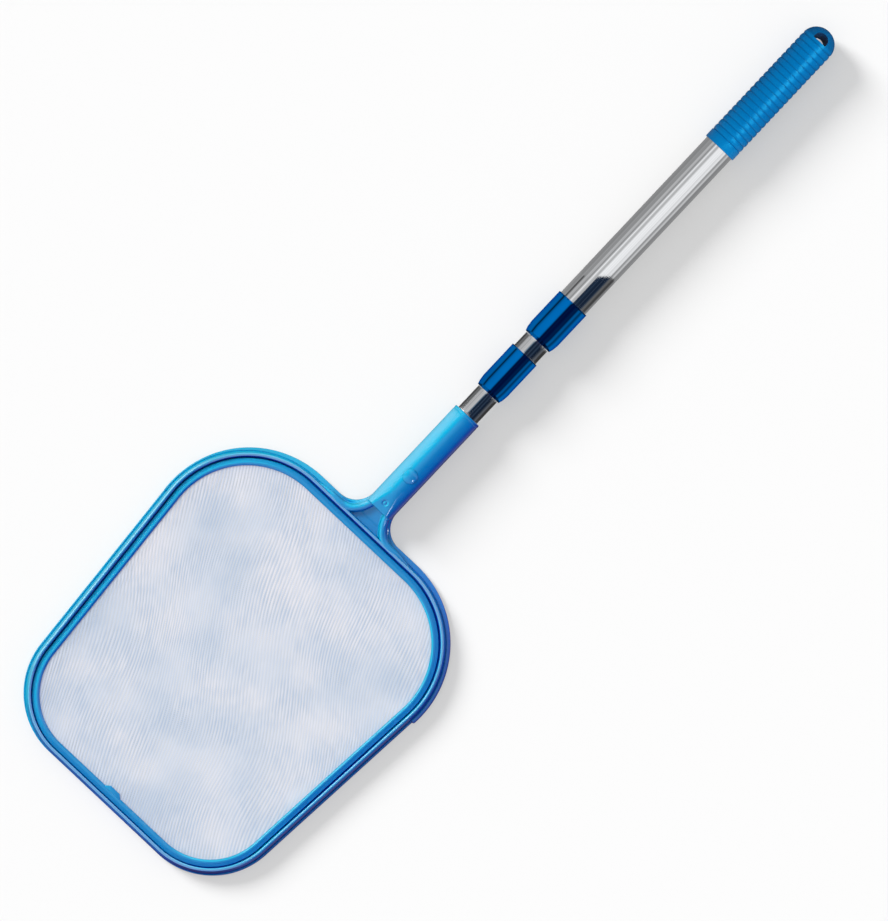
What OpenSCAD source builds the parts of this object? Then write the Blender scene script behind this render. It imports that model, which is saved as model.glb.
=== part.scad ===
// Leaf skimmer net: a flat net head on a three-section telescopic pole.
// The tool lies on a flat floor at z = 0. X runs along the pole from the front
// of the head (-X) to the hand grip (+X), Y runs across the head and Z is up.
// The origin is on the floor, halfway along the closed tool.

/* [Net opening] */
// Length of the clear net opening along the pole direction
opening_l = 298; // [260:1:340]
// Width of the opening at the centres of its two front corners
opening_front_w = 232; // [210:1:250]
// Width of the opening at the centres of its two back corners
opening_back_w = 259; // [240:1:300]
// Radius of the opening's two front corners
opening_front_r = 55; // [35:1:75]
// Radius of the opening's two back corners
opening_back_r = 73; // [50:1:95]

/* [Rim] */
// Width of the rim from the net opening to the outside of its rib
rim_w = 12; // [11:0.5:18]
// Height of the rim's rib over the floor
rim_h = 13; // [11.5:0.5:18]
// Width of the rounded rib on top of the rim
rib_w = 3.4; // [2:0.2:4.4]
// Height of the seat that the net is clamped on
seat_z = 5; // [3.5:0.25:6]
// How far the seat stands back from the net opening
seat_inset = 0.8; // [0:0.1:2]
// Extra width of the low ledge along the rim's two sides
side_ledge = 1.7; // [0.5:0.1:3]
// Height of the side ledge
side_ledge_h = 3; // [2:0.25:4]
// Width of the flange round the back half of the rim
flange_w = 5; // [3:0.25:7]
// Height of the back flange
flange_h = 4.6; // [3:0.2:5]
// How far the back flange runs along the straight sides before it ends
flange_tail = 8; // [4:1:20]

/* [Net and clamp ring] */
// Thickness of the net
net_t = 0.5; // [0.3:0.1:0.8]
// Distance from one strand of the net to the next
net_pitch = 16; // [15.5:0.5:24]
// Width of a strand of the net
net_strand = 1.6; // [1:0.1:3]
// Height of the clamp ring's flat band over the net
ring_h = 4; // [3:0.25:4.5]
// Width of the raised lip along the clamp ring's inner edge
lip_w = 1.8; // [1.2:0.1:2.5]
// Height of the lip over the ring's flat band
lip_h = 0.8; // [0.4:0.1:1.4]
// Width of the small tab on the front of the clamp ring
ring_tab_w = 17; // [10:1:24]
// How far that tab reaches over the net
ring_tab_l = 2.8; // [2:0.2:4]

/* [Yoke and socket] */
// Outside diameter of the pole socket
socket_d = 26.5; // [25.5:0.5:30]
// Length of the socket and yoke behind the rim's back flange
socket_l = 121.5; // [110:0.5:150]
// Depth of the bore that takes the pole
socket_bore_l = 95; // [84:1:100]
// Radius of the two fillets between the socket and the rim
fillet_r = 20.5; // [16:0.5:24]
// Width of a rounded arm of the yoke
arm_w = 6.5; // [5:0.25:8]
// How much further out the arms' arcs are centred than the fillets
arm_shift = 3.6; // [2:0.2:5]
// Slope of the arms, up from the rim to the socket
arm_tilt = 16; // [10:1:20]
// Thickness of the recessed web between the arms
web_t = 6; // [5:0.25:8]
// How far the yoke's underside climbs from the rim to the socket
yoke_rise = 10; // [7:0.5:11]
// Length of the web between the rim and the face of the socket
web_l = 17; // [14:0.5:19]
// Length of the sloping flat on the end of the socket
boss_flat_l = 16; // [12:0.5:22]
// Height that the sloping flat falls over its length
boss_flat_drop = 3.2; // [2:0.2:5]
// Diameter of the small moulded dimple in that flat
dimple_d = 5.8; // [4:0.2:7]
// Depth of the dimple
dimple_depth = 0.9; // [0.5:0.1:1.5]

/* [Release button] */
// Diameter of the round release button
button_d = 13; // [10:0.25:14]
// Distance from the socket's mouth to the middle of the button
button_back = 70.6; // [64:0.5:76]
// Height of the button's rim over the top of the socket
button_rise = 0.4; // [0.2:0.1:1.2]
// Height of the button's dome over its rim
button_dome = 1.1; // [0.6:0.1:1.6]
// Width of the button's flange inside the tube
button_flange_d = 15; // [14.5:0.25:16]
// Thickness of that flange
button_flange_t = 1.5; // [1:0.1:2]
// Length of the leaf spring under the button
spring_l = 48; // [40:1:60]
// Width of the leaf spring
spring_w = 6; // [4:0.5:7]
// Thickness of the leaf spring
spring_t = 0.8; // [0.5:0.1:1]
// Outside radius of the spring's bend
spring_bend_r = 2.6; // [2:0.1:3.5]

/* [Pole tubes] */
// Outside diameter of the inner tube, which carries the head
inner_d = 21.2; // [20.8:0.1:21.6]
// Outside diameter of the middle tube
middle_d = 24.2; // [23.9:0.1:24.8]
// Outside diameter of the outer tube
outer_d = 28; // [27.6:0.1:29]
// Wall of all three tubes
tube_wall = 1; // [0.8:0.05:1.15]
// Length of inner tube that shows when the pole is closed
inner_show = 25.3; // [15:0.5:40]
// Length of middle tube that shows when the pole is closed
middle_show = 15.4; // [10:0.5:30]
// Length of outer tube that shows between its collar and the grip
outer_show = 179.6; // [160:1:240]

/* [Collars] */
// Length of the lower collar, on the middle tube
lower_collar_l = 45; // [38:0.5:55]
// Outside diameter of the lower collar
lower_collar_d = 27.5; // [27:0.1:29]
// Length of the upper collar, on the outer tube
upper_collar_l = 44; // [38:0.5:55]
// Outside diameter of the upper collar
upper_collar_d = 30.8; // [30.4:0.1:31]
// Length of the rounded taper on a collar's front
collar_taper_l = 10; // [7:0.5:12]
// Length of the collar's guide bore, in front of the tube that it sits on
collar_guide_l = 11; // [9:0.5:15]
// Wall that the taper leaves round the guide bore at the front
collar_lip = 0.9; // [0.6:0.1:1.2]

/* [Grip] */
// Length of the hand grip
grip_l = 135; // [120:1:160]
// Diameter of the grip over its ribs
grip_d = 31; // [30.6:0.1:34]
// Length of the smooth cuff at the grip's mouth
grip_cuff_l = 9; // [6:0.5:14]
// Distance from one rib of the grip to the next
grip_rib_pitch = 5.4; // [4:0.2:8]
// Depth of the grooves between the ribs
grip_groove = 0.6; // [0.3:0.05:0.8]
// Length of the solid nose beyond the end of the tube
grip_nose_l = 22; // [21:0.5:26]
// Diameter of the half-round hanging hole
hang_d = 13.1; // [11:0.25:14]
// Length of the hanging hole along the grip
hang_l = 8.6; // [7.5:0.2:10]
// Distance from the end of the grip to the hanging hole
hang_back = 3.4; // [3:0.2:5]
// Slant of the hanging hole's sides
hang_tilt = 13; // [5:1:15]

/* [Twist locks] */
// Length of a lock plug's spigot inside its tube
plug_in = 16; // [12:1:22]
// Thickness of a lock plug's flange
plug_flange = 3; // [2:0.25:4]
// Diameter of the screw that each lock turns on
lock_screw_d = 6; // [5:0.25:6.5]
// Width across the flats of the lock screw's head
lock_head_af = 10; // [9.5:0.25:11]
// Thickness of the lock screw's head
lock_head_t = 4; // [3:0.25:5]
// Length of an expander sleeve
expander_l = 24; // [20:0.5:28]
// Length of the tapered seat inside an expander sleeve
expander_seat_l = 12; // [10:0.5:14]
// Width of the slots in an expander sleeve
expander_slot = 1.6; // [1.2:0.1:2]
// Radius of the tapered seat at its narrow end
seat_small_r = 4.5; // [4.2:0.1:5]
// Radius of the tapered seat at its wide end
seat_wide_r = 7.5; // [7:0.1:8.4]
// Length of the cone nut behind the expander sleeve
cone_collar_l = 3; // [2:0.25:4]
// Room behind the cone nut for it to back off
cone_room = 1.6; // [1.2:0.1:2.5]
// Thickness of the keeper nut at the end of the lock screw
keeper_t = 4.5; // [3.5:0.25:6]
// Room behind a closed pole section before it meets the next plug
stop_gap = 3; // [1:0.5:6]
// Length of the plug that closes the outer tube
end_plug_l = 12; // [8:1:16]
// Thickness of that plug's flange
end_plug_flange = 2; // [1.5:0.25:3]

/* [Clearances] */
// Radial clearance of sliding and turning fits
slide_fit = 0.1; // [0.05:0.01:0.1]
// Radial clearance of pieces that are pressed or glued together
seat_fit = 0.05; // [0.02:0.01:0.1]
// Clearance between the clamp ring and the rib
ring_fit = 0.1; // [0.05:0.01:0.2]
// Radial clearance between the socket and the tube in it
socket_fit = 0.15; // [0.1:0.05:0.2]
// Gap between flat faces that turn or slide past each other
face_gap = 0.3; // [0.2:0.05:0.5]

/* [Hidden] */
$fn = 64;
eps = 0.01;
bury = 0.2;
straight_lap = 0.4;
straight_inset = 0.003;

blue = "#1a7fc9";
collar_blue = "#0668af";
grip_blue = "#0a70bd";
bright_metal = "#c9ced2";
dark_metal = "#8a9096";
net_white = "#dfe8f2";
lock_grey = "#50565c";

// Places along the pole, from the front of the head to the end of the grip
total_l = opening_l + 2 * rim_w + flange_w + socket_l + inner_show + lower_collar_l
    + middle_show + upper_collar_l + outer_show + grip_l;
x_front = -total_l / 2;
x_open_front = x_front + rim_w;
x_open_back = x_open_front + opening_l;
x_rib_back = x_open_back + rim_w;
x_flange_back = x_rib_back + flange_w;
x_mouth = x_flange_back + socket_l;
x_lower_collar = x_mouth + inner_show;
x_lower_end = x_lower_collar + lower_collar_l;
x_upper_collar = x_lower_end + middle_show;
x_upper_end = x_upper_collar + upper_collar_l;
x_grip = x_upper_end + outer_show;
x_end = x_grip + grip_l;

// The pole's axis is as high as its thickest piece needs
pole_z = max(grip_d, upper_collar_d) / 2;

// Ends of the tubes, each set by what it stops against
x_outer_rear = x_end - grip_nose_l - end_plug_flange;
lock_l = plug_flange + face_gap + expander_l + cone_collar_l + cone_room + keeper_t + 1;
x_middle_rear = x_outer_rear - end_plug_l - stop_gap - lock_l;
x_inner_rear = x_middle_rear - plug_in - stop_gap - lock_l;
x_outer_front = x_upper_collar + collar_guide_l;
x_middle_front = x_lower_collar + collar_guide_l;
x_inner_front = x_mouth - socket_bore_l + face_gap;
x_button = x_mouth - button_back;

inner_bore_r = inner_d / 2 - tube_wall;
middle_bore_r = middle_d / 2 - tube_wall;
outer_bore_r = outer_d / 2 - tube_wall;

// Rib, seat and ring heights over the floor
ring_z = seat_z + net_t;
ring_top = ring_z + ring_h;
ring_w = rim_w - rib_w - ring_fit;

// Corner centres of the net opening, [x, y, radius], anticlockwise from the
// back left; the rim's other outlines are offsets of this one
back_x = x_open_back - opening_back_r;
back_y = opening_back_w / 2 - opening_back_r;
front_x = x_open_front + opening_front_r;
front_y = opening_front_w / 2 - opening_front_r;
corners = [
    [back_x, back_y, opening_back_r],
    [front_x, front_y, opening_front_r],
    [front_x, -front_y, opening_front_r],
    [back_x, -back_y, opening_back_r]
];

// Direction of the side's outward normal, and length of each straight
side_gap = norm([front_x - back_x, front_y - back_y]);
side_a = 180 + atan2(back_y - front_y, back_x - front_x)
    - acos((opening_back_r - opening_front_r) / side_gap);
normals = [side_a, 180, 360 - side_a, 360];
straight_l = [
    sqrt(pow(side_gap, 2) - pow(opening_back_r - opening_front_r, 2)),
    2 * front_y,
    sqrt(pow(side_gap, 2) - pow(opening_back_r - opening_front_r, 2)),
    2 * back_y
];

// Centres of the fillets between the socket and the rim's flange
fillet_x = x_flange_back + fillet_r;
fillet_y = socket_d / 2 + fillet_r;
arm_y = fillet_y + arm_shift;
arm_r = fillet_x - x_rib_back + 0.3 * rib_w + arm_w / 2;
x_boss = x_rib_back + web_l;
boss_a = atan(boss_flat_drop / boss_flat_l);

// Widening of a lock's tapered seat per length
seat_slope = (seat_wide_r - seat_small_r) / expander_seat_l;

// ---- Shared shapes ----

// Cylinder along X from x0 to x1, on the pole's axis
module rod(x0, x1, r) {
    translate([x0, 0, pole_z]) rotate([0, 90, 0]) cylinder(h = x1 - x0, r = r);
}

// Cone along X from radius r0 at x0 to radius r1 at x1
module taper(x0, x1, r0, r1) {
    translate([x0, 0, pole_z]) rotate([0, 90, 0]) cylinder(h = x1 - x0, r1 = r0, r2 = r1);
}

// Filled outline of the net opening, grown by w, with its sides moved out by dy
module outline(w, dy = 0) {
    for (c = corners)
        translate([c[0], c[1] + sign(c[1]) * dy]) circle(r = c[2] + w);
    polygon([
        for (i = [0:3]) for (k = [0, 1]) let (
            c = corners[i],
            a = k == 0 ? normals[(i + 3) % 4] : normals[i],
            y = c[1] + sign(c[1]) * dy
        ) [c[0] + (c[2] + w) * cos(a), y + (c[2] + w) * sin(a)]
    ]);
}

// Sweeps a profile, drawn as [distance from the opening, height], round corner i
module round_corner(i) {
    c = corners[i];
    a0 = normals[(i + 3) % 4] % 360;
    translate([c[0], c[1], 0]) rotate([0, 0, a0])
        rotate_extrude(angle = normals[i] - a0) translate([c[2], 0]) children();
}

// Sweeps the same profile along the straight that follows corner i. It runs a
// little way into both corners, and there it is a hair smaller about the point
// core, so that the pieces join without faces that only just meet
module along_straight(i, l, core) {
    c = corners[i];
    a = normals[i];
    translate([c[0] + c[2] * cos(a), c[1] + c[2] * sin(a), 0]) rotate([0, 0, a])
        translate([0, l + straight_lap, 0]) rotate([90, 0, 0])
            linear_extrude(l + 2 * straight_lap)
                translate(core) scale(1 - straight_inset) translate(-core) children();
}

// Sweeps the profile all the way round
module round_rim(core) {
    for (i = [0:3]) {
        round_corner(i) children();
        along_straight(i, straight_l[i], core) children();
    }
}

// ---- Head ----

// Rim section: seat for the net inside, rounded rib outside
module rim_profile() {
    rib_in = rim_w - rib_w;
    polygon([
        [seat_inset, 0], [rim_w, 0], [rim_w, side_ledge_h],
        [rim_w - 0.16 * rib_w, side_ledge_h + 0.8],
        [rim_w - 0.34 * rib_w, rim_h - 1.4],
        [rim_w - 0.46 * rib_w, rim_h - 0.45],
        [rim_w - 0.68 * rib_w, rim_h],
        [rim_w - 0.88 * rib_w, rim_h - 0.45],
        [rib_in, rim_h - 1.4], [rib_in, seat_z], [seat_inset, seat_z]
    ]);
}

// Flange section, outside the rib
module flange_profile() {
    polygon([
        [rim_w - 1, 0], [rim_w + flange_w, 0], [rim_w + flange_w, flange_h - 0.8],
        [rim_w + flange_w - 0.6, flange_h - 0.2],
        [rim_w + flange_w - 1.2, flange_h], [rim_w - 1, flange_h]
    ]);
}

module rim() {
    round_rim([rim_w - rib_w / 2, 0]) rim_profile();
    linear_extrude(side_ledge_h) difference() {
        outline(rim_w - bury, side_ledge + bury);
        outline(rim_w - 1);
    }
}

module back_flange() {
    core = [rim_w + flange_w / 2, 0];
    for (i = [3, 0]) round_corner(i) flange_profile();
    along_straight(3, straight_l[3], core) flange_profile();
    along_straight(0, flange_tail, core) flange_profile();
    mirror([0, 1, 0]) along_straight(0, flange_tail, core) flange_profile();
}

// Side view of the yoke's plates: level over the rim, then up to the socket,
// t thick; seen along Y and cut from it, it holds whatever stands on it
module climbing_slab(t, x1) {
    climb = yoke_rise / fillet_r * (x1 - x_flange_back);
    half = fillet_y + arm_w;
    translate([0, half, 0]) rotate([90, 0, 0]) linear_extrude(2 * half)
        polygon([
            [x_rib_back - rib_w, 0], [x_flange_back, 0], [x1, climb],
            [x1, climb + t], [x_flange_back, t], [x_rib_back - rib_w, t]
        ]);
}

// One arm of the yoke, on the +Y side: a rounded rib on a wall, both on an arc
// that leaves the rim's rib without a step
module arm() {
    start_x = fillet_x - arm_r;
    start_z = rim_h - arm_w / 2;
    intersection() {
        union() {
            intersection() {
                translate([fillet_x, arm_y, 0]) rotate([0, 0, 180]) rotate_extrude(angle = 90)
                    translate([arm_r - arm_w / 2, 0]) square([arm_w, pole_z + arm_w]);
                translate([start_x, 0, start_z]) rotate([0, -arm_tilt, 0])
                    translate([-arm_r, 0, -2 * arm_r])
                        cube([3 * arm_r, 2 * arm_r, 2 * arm_r]);
            }
            translate([start_x, arm_y, start_z]) rotate([0, -arm_tilt, 0])
                translate([arm_r, 0, 0]) rotate([0, 0, 180]) rotate_extrude(angle = 90)
                    translate([arm_r, 0]) circle(d = arm_w);
        }
        translate([x_rib_back - 0.7 * rib_w, 0, 0]) cube([2 * arm_r, 2 * arm_r, 2 * arm_r]);
        climbing_slab(2 * pole_z, fillet_x + arm_w);
    }
}

// Plate between the rim and the socket, t thick and cut back to a radius r
// round each point y to the side
module yoke_plate(r, y, t, x1) {
    intersection() {
        climbing_slab(t, x1);
        linear_extrude(2 * pole_z) difference() {
            translate([x_rib_back - 1, -y]) square([x1 - x_rib_back + 1, 2 * y]);
            for (s = [-1, 1]) translate([fillet_x, s * y]) circle(r = r);
        }
    }
}

// Socket with its end cut to a shallow slope over the yoke
module socket_body() {
    difference() {
        union() {
            rod(x_boss, x_mouth - 0.8, socket_d / 2);
            taper(x_mouth - 0.8, x_mouth, socket_d / 2, socket_d / 2 - 0.5);
        }
        translate([x_boss + boss_flat_l, -socket_d, pole_z + socket_d / 2])
            rotate([0, -boss_a, 0])
                translate([-2 * socket_d, 0, 0]) cube([2 * socket_d, 2 * socket_d, socket_d]);
    }
}

module head_frame() {
    dimple_x = x_boss + boss_flat_l / 2;
    color(blue) difference() {
        union() {
            rim();
            back_flange();
            yoke_plate(fillet_r, fillet_y, flange_h, fillet_x);
            yoke_plate(arm_r, arm_y, web_t, x_boss + 1);
            arm();
            mirror([0, 1, 0]) arm();
            socket_body();
        }
        rod(x_mouth - socket_bore_l, x_mouth + 1, inner_d / 2 + socket_fit);
        translate([x_button, 0, pole_z]) cylinder(h = socket_d, d = button_d + 2 * slide_fit);
        translate([dimple_x, 0, pole_z + socket_d / 2 - boss_flat_drop / 2])
            rotate([0, -boss_a, 0]) difference() {
                translate([0, 0, -dimple_depth]) cylinder(h = 3, d = dimple_d);
                translate([0, 0, -2 * dimple_depth])
                    cylinder(h = 1.7 * dimple_depth, d = dimple_d / 3);
            }
    }
}

// Clamp ring section: flat band with a raised lip over the net's edge
module ring_profile() {
    polygon([
        [0, ring_z], [ring_w, ring_z], [ring_w, ring_z + 0.45 * ring_h],
        [ring_w - 1.3, ring_top], [lip_w + 0.3, ring_top],
        [lip_w - 0.3, ring_top + 0.7 * lip_h], [0.55 * lip_w, ring_top + lip_h],
        [0.2 * lip_w, ring_top + 0.6 * lip_h], [0, ring_top - 0.4]
    ]);
}

module net_clamp_ring() {
    color(blue) {
        round_rim([0.4 * ring_w, ring_z + 0.5 * ring_h]) ring_profile();
        translate([x_open_front, 0, ring_z]) linear_extrude(ring_h)
            polygon([
                [-1, -ring_tab_w / 2], [0, -ring_tab_w / 2],
                [ring_tab_l, -0.3 * ring_tab_w], [ring_tab_l, 0.3 * ring_tab_w],
                [0, ring_tab_w / 2], [-1, ring_tab_w / 2]
            ]);
    }
}

// Net with a coarse square mesh, and a plain border under the clamp ring
module net() {
    border = ring_w - 0.5;
    hole = net_pitch - net_strand;
    cols = floor(opening_l / net_pitch / 2);
    rows = floor(opening_back_w / net_pitch / 2);
    middle_x = (x_open_front + x_open_back) / 2;
    color(net_white) translate([0, 0, seat_z]) linear_extrude(net_t) difference() {
        outline(border);
        intersection() {
            for (i = [-cols:cols - 1]) for (j = [-rows:rows - 1])
                translate([
                    middle_x + (i + 0.5) * net_pitch - hole / 2,
                    (j + 0.5) * net_pitch - hole / 2
                ])
                    square(hole);
            outline(-net_strand);
        }
    }
}

// ---- Release button and its spring ----

module release_button() {
    rim_z = pole_z + socket_d / 2 + button_rise;
    flange_z = pole_z + sqrt(pow(inner_bore_r, 2) - pow(button_flange_d / 2, 2)) - face_gap;
    dome_r = (pow(button_d / 2, 2) + pow(button_dome, 2)) / (2 * button_dome);
    color(blue) {
        translate([x_button, 0, flange_z - button_flange_t])
            cylinder(h = button_flange_t, d = button_flange_d);
        translate([x_button, 0, flange_z - button_flange_t])
            cylinder(h = rim_z - flange_z + button_flange_t, d = button_d);
        intersection() {
            translate([x_button, 0, rim_z + button_dome - dome_r]) sphere(r = dome_r);
            translate([x_button, 0, rim_z - eps])
                cylinder(h = 2 * button_dome, d = button_d);
        }
    }
}

// Leaf spring bent to a V: its lower leg lies in the tube, its upper leg lifts the button
module button_spring() {
    flange_z = sqrt(pow(inner_bore_r, 2) - pow(button_flange_d / 2, 2)) - face_gap;
    top_z = flange_z - button_flange_t;
    low_z = -sqrt(pow(inner_bore_r, 2) - pow(spring_w / 2, 2)) + seat_fit;
    pad_l = button_d;
    bend_x = spring_l - pad_l / 2 - spring_bend_r;
    bend_z = low_z + 2 * spring_bend_r;
    color(bright_metal) translate([x_button, spring_w / 2, pole_z])
        rotate([90, 0, 0]) linear_extrude(spring_w) {
            polygon([
                [-pad_l / 2, low_z], [bend_x, low_z], [bend_x, low_z + spring_t],
                [-pad_l / 2, low_z + spring_t]
            ]);
            intersection() {
                translate([bend_x, low_z + spring_bend_r]) difference() {
                    circle(r = spring_bend_r);
                    circle(r = spring_bend_r - spring_t);
                }
                translate([bend_x, low_z]) square([spring_bend_r, 2 * spring_bend_r]);
            }
            polygon([
                [bend_x, bend_z], [pad_l / 2, top_z], [-pad_l / 2, top_z],
                [-pad_l / 2, top_z - spring_t], [pad_l / 2, top_z - spring_t],
                [bend_x, bend_z - spring_t]
            ]);
        }
}

// ---- Tubes ----

module tube(x0, x1, d) {
    difference() {
        rod(x0, x1, d / 2);
        rod(x0 - 1, x1 + 1, d / 2 - tube_wall);
    }
}

module inner_tube() {
    color(bright_metal) difference() {
        tube(x_inner_front, x_inner_rear, inner_d);
        translate([x_button, 0, pole_z]) cylinder(h = inner_d, d = button_d + 2 * slide_fit);
    }
}

module middle_tube() {
    color(bright_metal) tube(x_middle_front, x_middle_rear, middle_d);
}

module outer_tube() {
    color(bright_metal) tube(x_outer_front, x_outer_rear, outer_d);
}

// ---- Collars ----

// Sleeve glued over a tube's front end; the thinner tube runs in its guide bore
module collar(x0, l, d, tube_d, guide_d) {
    lip_r = guide_d / 2 + slide_fit + collar_lip;
    difference() {
        union() {
            rod(x0 + collar_taper_l, x0 + l - 1, d / 2);
            taper(x0 + l - 1, x0 + l, d / 2, d / 2 - 0.4);
            taper(x0, x0 + 0.35 * collar_taper_l, lip_r, lip_r + 0.62 * (d / 2 - lip_r));
            taper(x0 + 0.35 * collar_taper_l, x0 + collar_taper_l,
                lip_r + 0.62 * (d / 2 - lip_r), d / 2);
        }
        rod(x0 - 1, x0 + l, guide_d / 2 + slide_fit);
        rod(x0 + collar_guide_l, x0 + l + 1, tube_d / 2 + seat_fit);
    }
}

module lower_collar() {
    color(collar_blue)
        collar(x_lower_collar, lower_collar_l, lower_collar_d, middle_d, inner_d);
}

module upper_collar() {
    color(collar_blue)
        collar(x_upper_collar, upper_collar_l, upper_collar_d, outer_d, middle_d);
}

// ---- Twist locks: x0 is the rear end of the tube that carries the lock ----

module lock_plug(x0, tube_d) {
    head_r = lock_head_af / sqrt(3);
    color(lock_grey) difference() {
        union() {
            rod(x0 - plug_in, x0 + eps, tube_d / 2 - tube_wall - seat_fit);
            rod(x0, x0 + plug_flange, tube_d / 2);
        }
        rod(x0 - plug_in - 1, x0 + plug_flange + 1, lock_screw_d / 2 + seat_fit);
        translate([x0 - plug_in - 1, 0, pole_z]) rotate([0, 90, 0])
            cylinder(h = lock_head_t + 1, r = head_r + seat_fit, $fn = 6);
    }
}

module lock_screw(x0) {
    color(dark_metal) {
        translate([x0 - plug_in, 0, pole_z]) rotate([0, 90, 0])
            cylinder(h = lock_head_t, r = lock_head_af / sqrt(3), $fn = 6);
        rod(x0 - plug_in, x0 + lock_l, lock_screw_d / 2);
    }
}

// Slotted sleeve that rubs on the next tube's bore, with a tapered seat at its rear
module expander(x0, bore_r) {
    x1 = x0 + plug_flange + face_gap;
    x2 = x1 + expander_l;
    color("#d8dde0") difference() {
        rod(x1, x2, bore_r - slide_fit);
        rod(x1 - 1, x2 + 1, lock_screw_d / 2 + face_gap);
        taper(x2 - expander_seat_l, x2, seat_small_r, seat_wide_r);
        taper(x2 - eps, x2 + 1, seat_wide_r, seat_wide_r);
        for (a = [0, 120, 240])
            translate([x2 - 1.4 * expander_seat_l, 0, pole_z]) rotate([a, 0, 0])
                translate([0, -expander_slot / 2, 0])
                    cube([2 * expander_seat_l, expander_slot, 2 * bore_r]);
    }
}

// Cone nut that spreads the sleeve; three keys in the slots stop it from turning
module cone_nut(x0, bore_r) {
    x2 = x0 + plug_flange + face_gap + expander_l;
    x_tip = x2 - 0.8 * expander_seat_l;
    tip_r = seat_wide_r - 0.8 * expander_seat_l * seat_slope - slide_fit;
    color("#b98f3a") difference() {
        union() {
            taper(x_tip, x2, tip_r, seat_wide_r - slide_fit);
            rod(x2, x2 + cone_collar_l, seat_wide_r - slide_fit);
            for (a = [0, 120, 240])
                translate([x2 - 0.5 * expander_seat_l, 0, pole_z]) rotate([a, 0, 0])
                    translate([0, -expander_slot / 2 + slide_fit, 0])
                        cube([
                            0.4 * expander_seat_l, expander_slot - 2 * slide_fit,
                            bore_r - 3 * slide_fit
                        ]);
        }
        rod(x_tip - 1, x2 + cone_collar_l + 1, lock_screw_d / 2 + slide_fit);
    }
}

module keeper_nut(x0) {
    x1 = x0 + plug_flange + face_gap + expander_l + cone_collar_l + cone_room;
    color(dark_metal) difference() {
        translate([x1, 0, pole_z]) rotate([0, 90, 0])
            cylinder(h = keeper_t, r = lock_head_af / sqrt(3), $fn = 6);
        rod(x1 - 1, x1 + keeper_t + 1, lock_screw_d / 2 + seat_fit);
    }
}

module inner_lock_plug() { lock_plug(x_inner_rear, inner_d); }
module inner_lock_screw() { lock_screw(x_inner_rear); }
module inner_expander() { expander(x_inner_rear, middle_bore_r); }
module inner_cone_nut() { cone_nut(x_inner_rear, middle_bore_r); }
module inner_keeper_nut() { keeper_nut(x_inner_rear); }

module middle_lock_plug() { lock_plug(x_middle_rear, middle_d); }
module middle_lock_screw() { lock_screw(x_middle_rear); }
module middle_expander() { expander(x_middle_rear, outer_bore_r); }
module middle_cone_nut() { cone_nut(x_middle_rear, outer_bore_r); }
module middle_keeper_nut() { keeper_nut(x_middle_rear); }

// ---- Handle end ----

module outer_end_plug() {
    color(lock_grey) {
        rod(x_outer_rear - end_plug_l, x_outer_rear + eps, outer_bore_r - seat_fit);
        rod(x_outer_rear, x_outer_rear + end_plug_flange, outer_d / 2);
    }
}

// Outside of the grip, as [distance from its mouth, radius]
function grip_points() = let (
    r = grip_d / 2,
    last = grip_l - r,
    count = floor((last - grip_cuff_l) / grip_rib_pitch),
    pitch = (last - grip_cuff_l) / count
) concat(
    [[0, 0], [0, r - 0.5], [0.5, r], [grip_cuff_l - 0.6, r]],
    [for (i = [0:count - 1]) each [
        [grip_cuff_l + i * pitch, r - grip_groove],
        [grip_cuff_l + (i + 0.5) * pitch, r]
    ]],
    [[last, r - grip_groove], [last, 0]]
);

module hand_grip() {
    nose_x = x_end - grip_d / 2;
    hole_x = x_end - hang_back - hang_d / 2;
    color(grip_blue) difference() {
        union() {
            translate([x_grip, 0, pole_z]) rotate([0, 90, 0]) rotate([0, 0, 90])
                rotate_extrude() mirror([1, -1]) polygon(grip_points());
            intersection() {
                translate([nose_x, 0, pole_z]) sphere(r = grip_d / 2);
                rod(nose_x - eps, x_end + 1, grip_d);
            }
        }
        rod(x_grip - 1, x_outer_rear + end_plug_flange, outer_d / 2 + seat_fit);
        translate([0, 0, pole_z + grip_d / 2]) multmatrix([
            [1, 0, tan(hang_tilt), 0], [0, 1, 0, 0], [0, 0, 1, 0], [0, 0, 0, 1]
        ])
            translate([0, 0, -1.5 * grip_d]) linear_extrude(2 * grip_d) intersection() {
                translate([hole_x, 0]) circle(d = hang_d);
                translate([hole_x + hang_d / 2 - hang_l, -hang_d]) square(2 * hang_d);
            }
    }
}

head_frame();
net_clamp_ring();
net();
release_button();
button_spring();
inner_tube();
inner_lock_plug();
inner_lock_screw();
inner_expander();
inner_cone_nut();
inner_keeper_nut();
lower_collar();
middle_tube();
middle_lock_plug();
middle_lock_screw();
middle_expander();
middle_cone_nut();
middle_keeper_nut();
upper_collar();
outer_tube();
outer_end_plug();
hand_grip();
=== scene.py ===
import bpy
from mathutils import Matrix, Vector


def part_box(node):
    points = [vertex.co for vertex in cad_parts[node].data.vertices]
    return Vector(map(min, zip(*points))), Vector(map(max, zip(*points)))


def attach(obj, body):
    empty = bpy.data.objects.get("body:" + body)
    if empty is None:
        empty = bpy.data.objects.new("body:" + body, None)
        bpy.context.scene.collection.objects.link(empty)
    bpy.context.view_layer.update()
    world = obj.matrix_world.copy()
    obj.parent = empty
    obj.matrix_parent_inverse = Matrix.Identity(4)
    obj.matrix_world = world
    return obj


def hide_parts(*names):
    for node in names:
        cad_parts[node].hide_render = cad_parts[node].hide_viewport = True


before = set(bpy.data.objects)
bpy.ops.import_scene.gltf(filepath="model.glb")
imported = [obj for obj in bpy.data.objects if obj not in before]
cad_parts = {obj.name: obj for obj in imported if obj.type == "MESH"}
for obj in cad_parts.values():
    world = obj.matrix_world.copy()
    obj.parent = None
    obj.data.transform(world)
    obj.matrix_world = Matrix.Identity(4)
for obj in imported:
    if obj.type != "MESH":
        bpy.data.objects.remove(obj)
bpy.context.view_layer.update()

import math

import bmesh
import bpy
import numpy as np
from mathutils import Matrix, Vector, noise

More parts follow.
